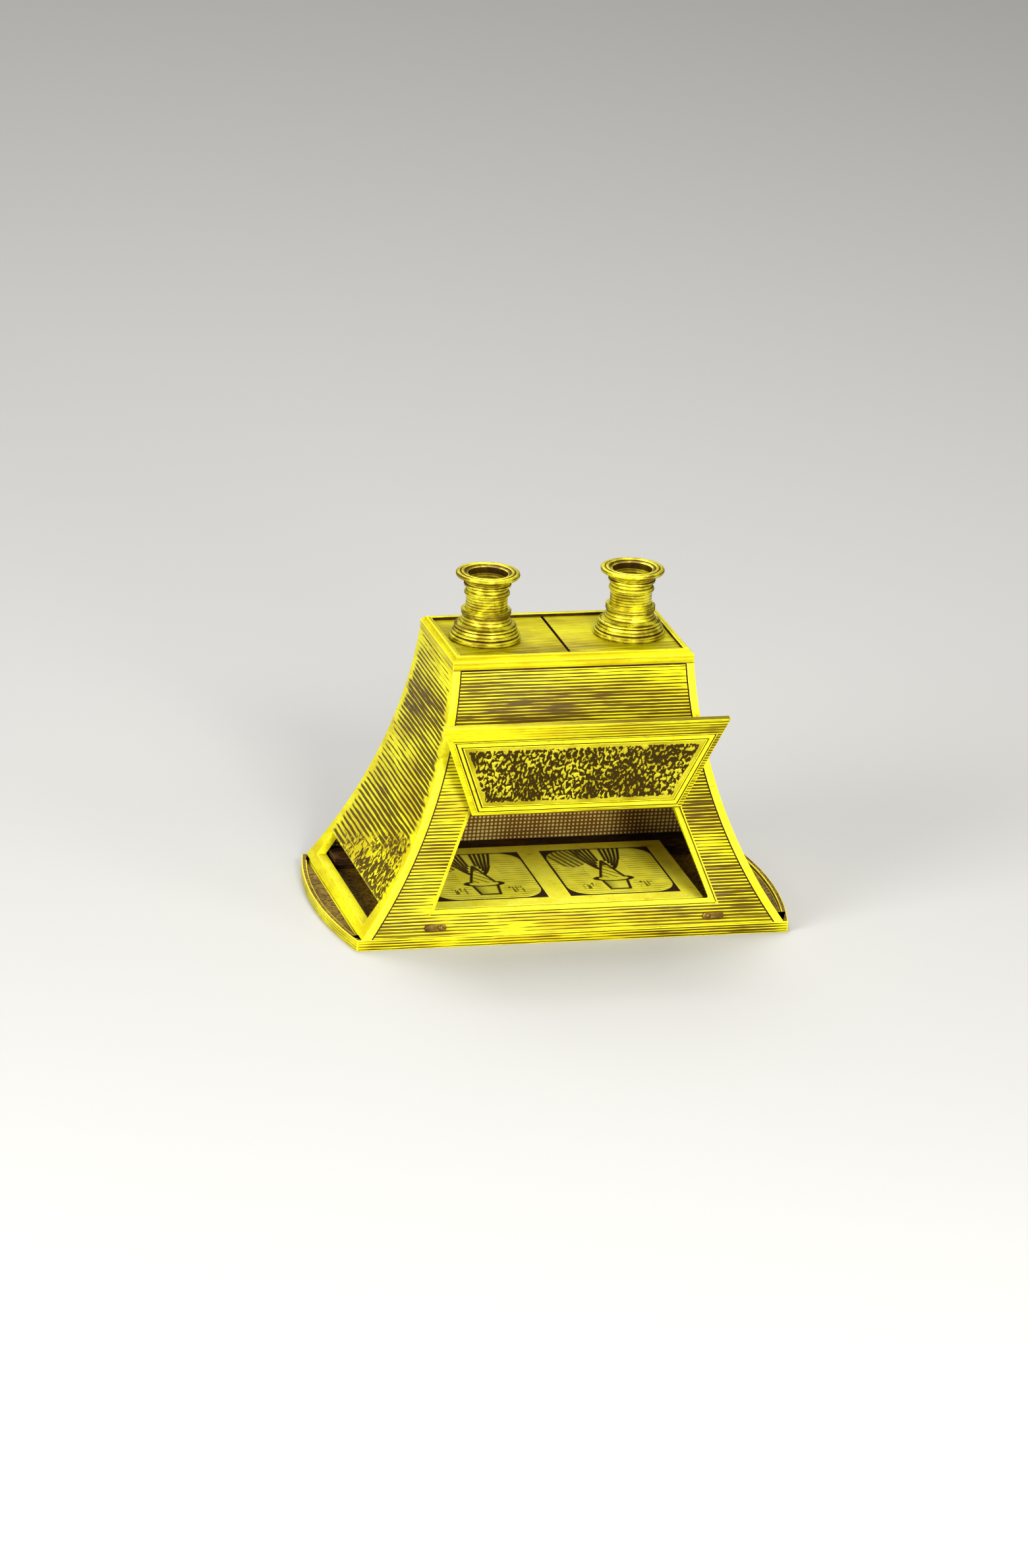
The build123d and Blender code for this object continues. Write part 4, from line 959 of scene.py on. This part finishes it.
# Card mount: stiff pale yellow card with a little foxing, printed black behind each picture so
# that a dark line and dark corners show round it.
print_offset = 30               # from the card's middle to the middle of each print
window_half_width, window_half_height = 24.9, 28.2
card_mount = merged_copy("card_mount", "card_mount_eased")
board_card, tree, shader, place = new_finish("card_board")
parts = wire(tree, "SeparateXYZ", {0: place})
from_middle = sums(tree, "ABSOLUTE",
                   sums(tree, "SUBTRACT", sums(tree, "ABSOLUTE", parts.outputs[0]),
                        print_offset * MM))
in_width = ranged(tree, from_middle, window_half_width * MM, (window_half_width + 0.15) * MM, 1.0,
                  0.0)
in_height = ranged(tree, sums(tree, "ABSOLUTE", parts.outputs[1]), window_half_height * MM,
                   (window_half_height + 0.15) * MM, 1.0, 0.0)
fibre = cloudy(tree, place, 900.0, 3.0)
foxing = cloudy(tree, place, 130.0, 4.0)
pale = tinted(tree, ranged(tree, foxing, 0.35, 0.65), rgb(0.98, 0.93, 0.085),
              rgb(0.90, 0.82, 0.045))
spotted = tinted(tree, ranged(tree, foxing, 0.66, 0.72, 0.0, 0.5), pale, rgb(0.45, 0.30, 0.012))
fibrous = tinted(tree, ranged(tree, fibre, 0.5, 0.75, 0.0, 0.22), spotted, rgb(0.5, 0.40, 0.02))
printed = tinted(tree, sums(tree, "MULTIPLY", in_width, in_height), fibrous,
                 rgb(0.035, 0.014, 0.004))
tree.links.new(printed, shader.inputs["Base Color"])
tree.links.new(ranged(tree, fibre, 0.3, 0.7, 0.6, 0.78), shader.inputs["Roughness"])
bumped(tree, shader, fibre, 0.03)
card_mount.data.materials.append(board_card)
ease(card_mount, 0.2)
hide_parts("card_mount")
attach(card_mount, "card")


# Prints: a stereo pair of a plant in a pot, engraved in fine strokes on thin paper with rounded
# corners, and pasted to the mount. The two differ slightly, as the two eyes' views do.
def inked(offset, half_width, softness=0.35):
    """A stroke: 1 at its middle and 0 beyond its half width."""
    return min(1.0, max(0.0, (half_width + softness - abs(offset)) / softness))


def picture_ink(across, up, parallax):
    """How dark the picture is at a place, in mm from the middle of the print."""
    x = across - parallax * (1 if up < 13 else 0.4)
    rough = noise.noise(Vector((across * 0.22, up * 0.16, 4)))
    ripple = 0.35 * noise.noise(Vector((across * 0.12, up * 0.5, 9)))
    ruled = 0.5 + 0.5 * math.cos((up + ripple) * 2 * math.pi / 2.6)
    ink = min(1.0, max(0.0, (ruled - 0.62 + 0.5 * rough) / 0.3)) * 0.42
    if math.hypot(x / 10, (up - 2) / 25) < 1:
        ink *= 0.25
    bush = math.hypot((x + 14) / 9.5, (up - 25) / 19)
    if bush < 1 and x < -6:
        ink = max(ink, 0.55 + 0.4 * math.cos((x + up * 0.4) * 2.2))
    # Leaves arch up and outwards from the top of the plant
    if up > 0:
        for leaf_number in range(1, 6):
            reach = leaf_number * 2.1 * math.sqrt(up / 27) + 0.4
            if up > 15 - leaf_number * 3.0:
                ink = max(ink, inked(abs(x) - reach, 0.48))
    # The pot, its wide saucer-shaped rim, and the cone of the plant's stem
    if -23 < up < -10:
        wall = 4.2 + (up + 23) * 0.12
        if abs(x) < wall:
            ink = 0.1 + 0.55 * max(0.0, -x / wall)
            ink = max(ink, inked(up + 22.4, 0.8))
        ink = max(ink, inked(abs(x) - wall, 0.5))
    if -8 < up < 13:
        wall = 5.6 * (13 - up) / 21
        if abs(x) < wall:
            swirl = math.cos(up * 1.2 + x * 1.5)
            ink = 0.9 if up > 7 or swirl > 0.8 else 0.05
        ink = max(ink, inked(abs(x) - wall, 0.5))
    ring = math.hypot(x / 8.0, (up + 9.2) / 3.0)
    if ring < 1.0:
        ink = 0.05 if up < -8 or abs(x) > 5.5 else ink
    ink = max(ink, inked((ring - 1.0) * 4.5, 0.6) if up < -7 else 0)
    # Small growth on the ground to both sides
    tuft = noise.noise(Vector((across * 1.3, up * 0.12, 6)))
    if 9.5 < abs(x) < 16 and -21 < up < -14 and tuft > 0.1:
        ink = 0.85
    return ink


engraving, tree, shader, place = new_finish("engraved_paper")
stroke = wire(tree, "Attribute", attribute_name="ink").outputs["Fac"]
fibre = cloudy(tree, place, 1100.0, 2.0)
toning = cloudy(tree, place, 70.0, 3.0)
sheet_tone = tinted(tree, ranged(tree, toning, 0.3, 0.7), rgb(0.98, 0.93, 0.10),
                    rgb(0.88, 0.81, 0.05))
tree.links.new(tinted(tree, stroke, sheet_tone, rgb(0.04, 0.018, 0.003)),
               shader.inputs["Base Color"])
tree.links.new(ranged(tree, fibre, 0.3, 0.7, 0.5, 0.66), shader.inputs["Roughness"])
bumped(tree, shader, fibre, 0.02)
for name, parallax in (("left", 0.5), ("right", -0.5)):
    low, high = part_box(name + "_print")
    middle = Vector(((low[0] + high[0]) / 2, (low[1] + high[1]) / 2, high[2]))
    half_width = (high[0] - low[0]) / 2 / MM
    half_height = (high[1] - low[1]) / 2 / MM
    corner = 10.0
    bpy.ops.object.select_all(action="DESELECT")
    bpy.ops.mesh.primitive_grid_add(x_subdivisions=156, y_subdivisions=176, size=2)
    picture = bpy.context.object
    picture.name = name + "_print_engraved"
    strokes = picture.data.attributes.new("ink", "FLOAT", "POINT")
    for index, vertex in enumerate(picture.data.vertices):
        across = vertex.co.x * half_width
        up = vertex.co.y * half_height
        strokes.data[index].value = picture_ink(across, up, parallax)
        beside = abs(across) - (half_width - corner)
        beyond = abs(up) - (half_height - corner)
        if beside > 0 and beyond > 0:
            share_x, share_y = beside / corner, beyond / corner
            across -= math.copysign(beside - beside * math.sqrt(1 - share_y ** 2 / 2), across)
            up -= math.copysign(beyond - beyond * math.sqrt(1 - share_x ** 2 / 2), up)
        vertex.co = middle + Vector((across, up, 0)) * MM
    bpy.ops.object.mode_set(mode="EDIT")
    bpy.ops.mesh.select_all(action="SELECT")
    bpy.ops.mesh.region_to_loop()
    bpy.ops.mesh.extrude_edges_move(TRANSFORM_OT_translate={"value": (0, 0, low[2] - high[2])})
    bpy.ops.mesh.edge_face_add()
    bpy.ops.mesh.select_all(action="SELECT")
    bpy.ops.mesh.normals_make_consistent(inside=False)
    bpy.ops.object.mode_set(mode="OBJECT")
    picture.data.materials.append(engraving)
    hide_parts(name + "_print")
    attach(picture, "card")
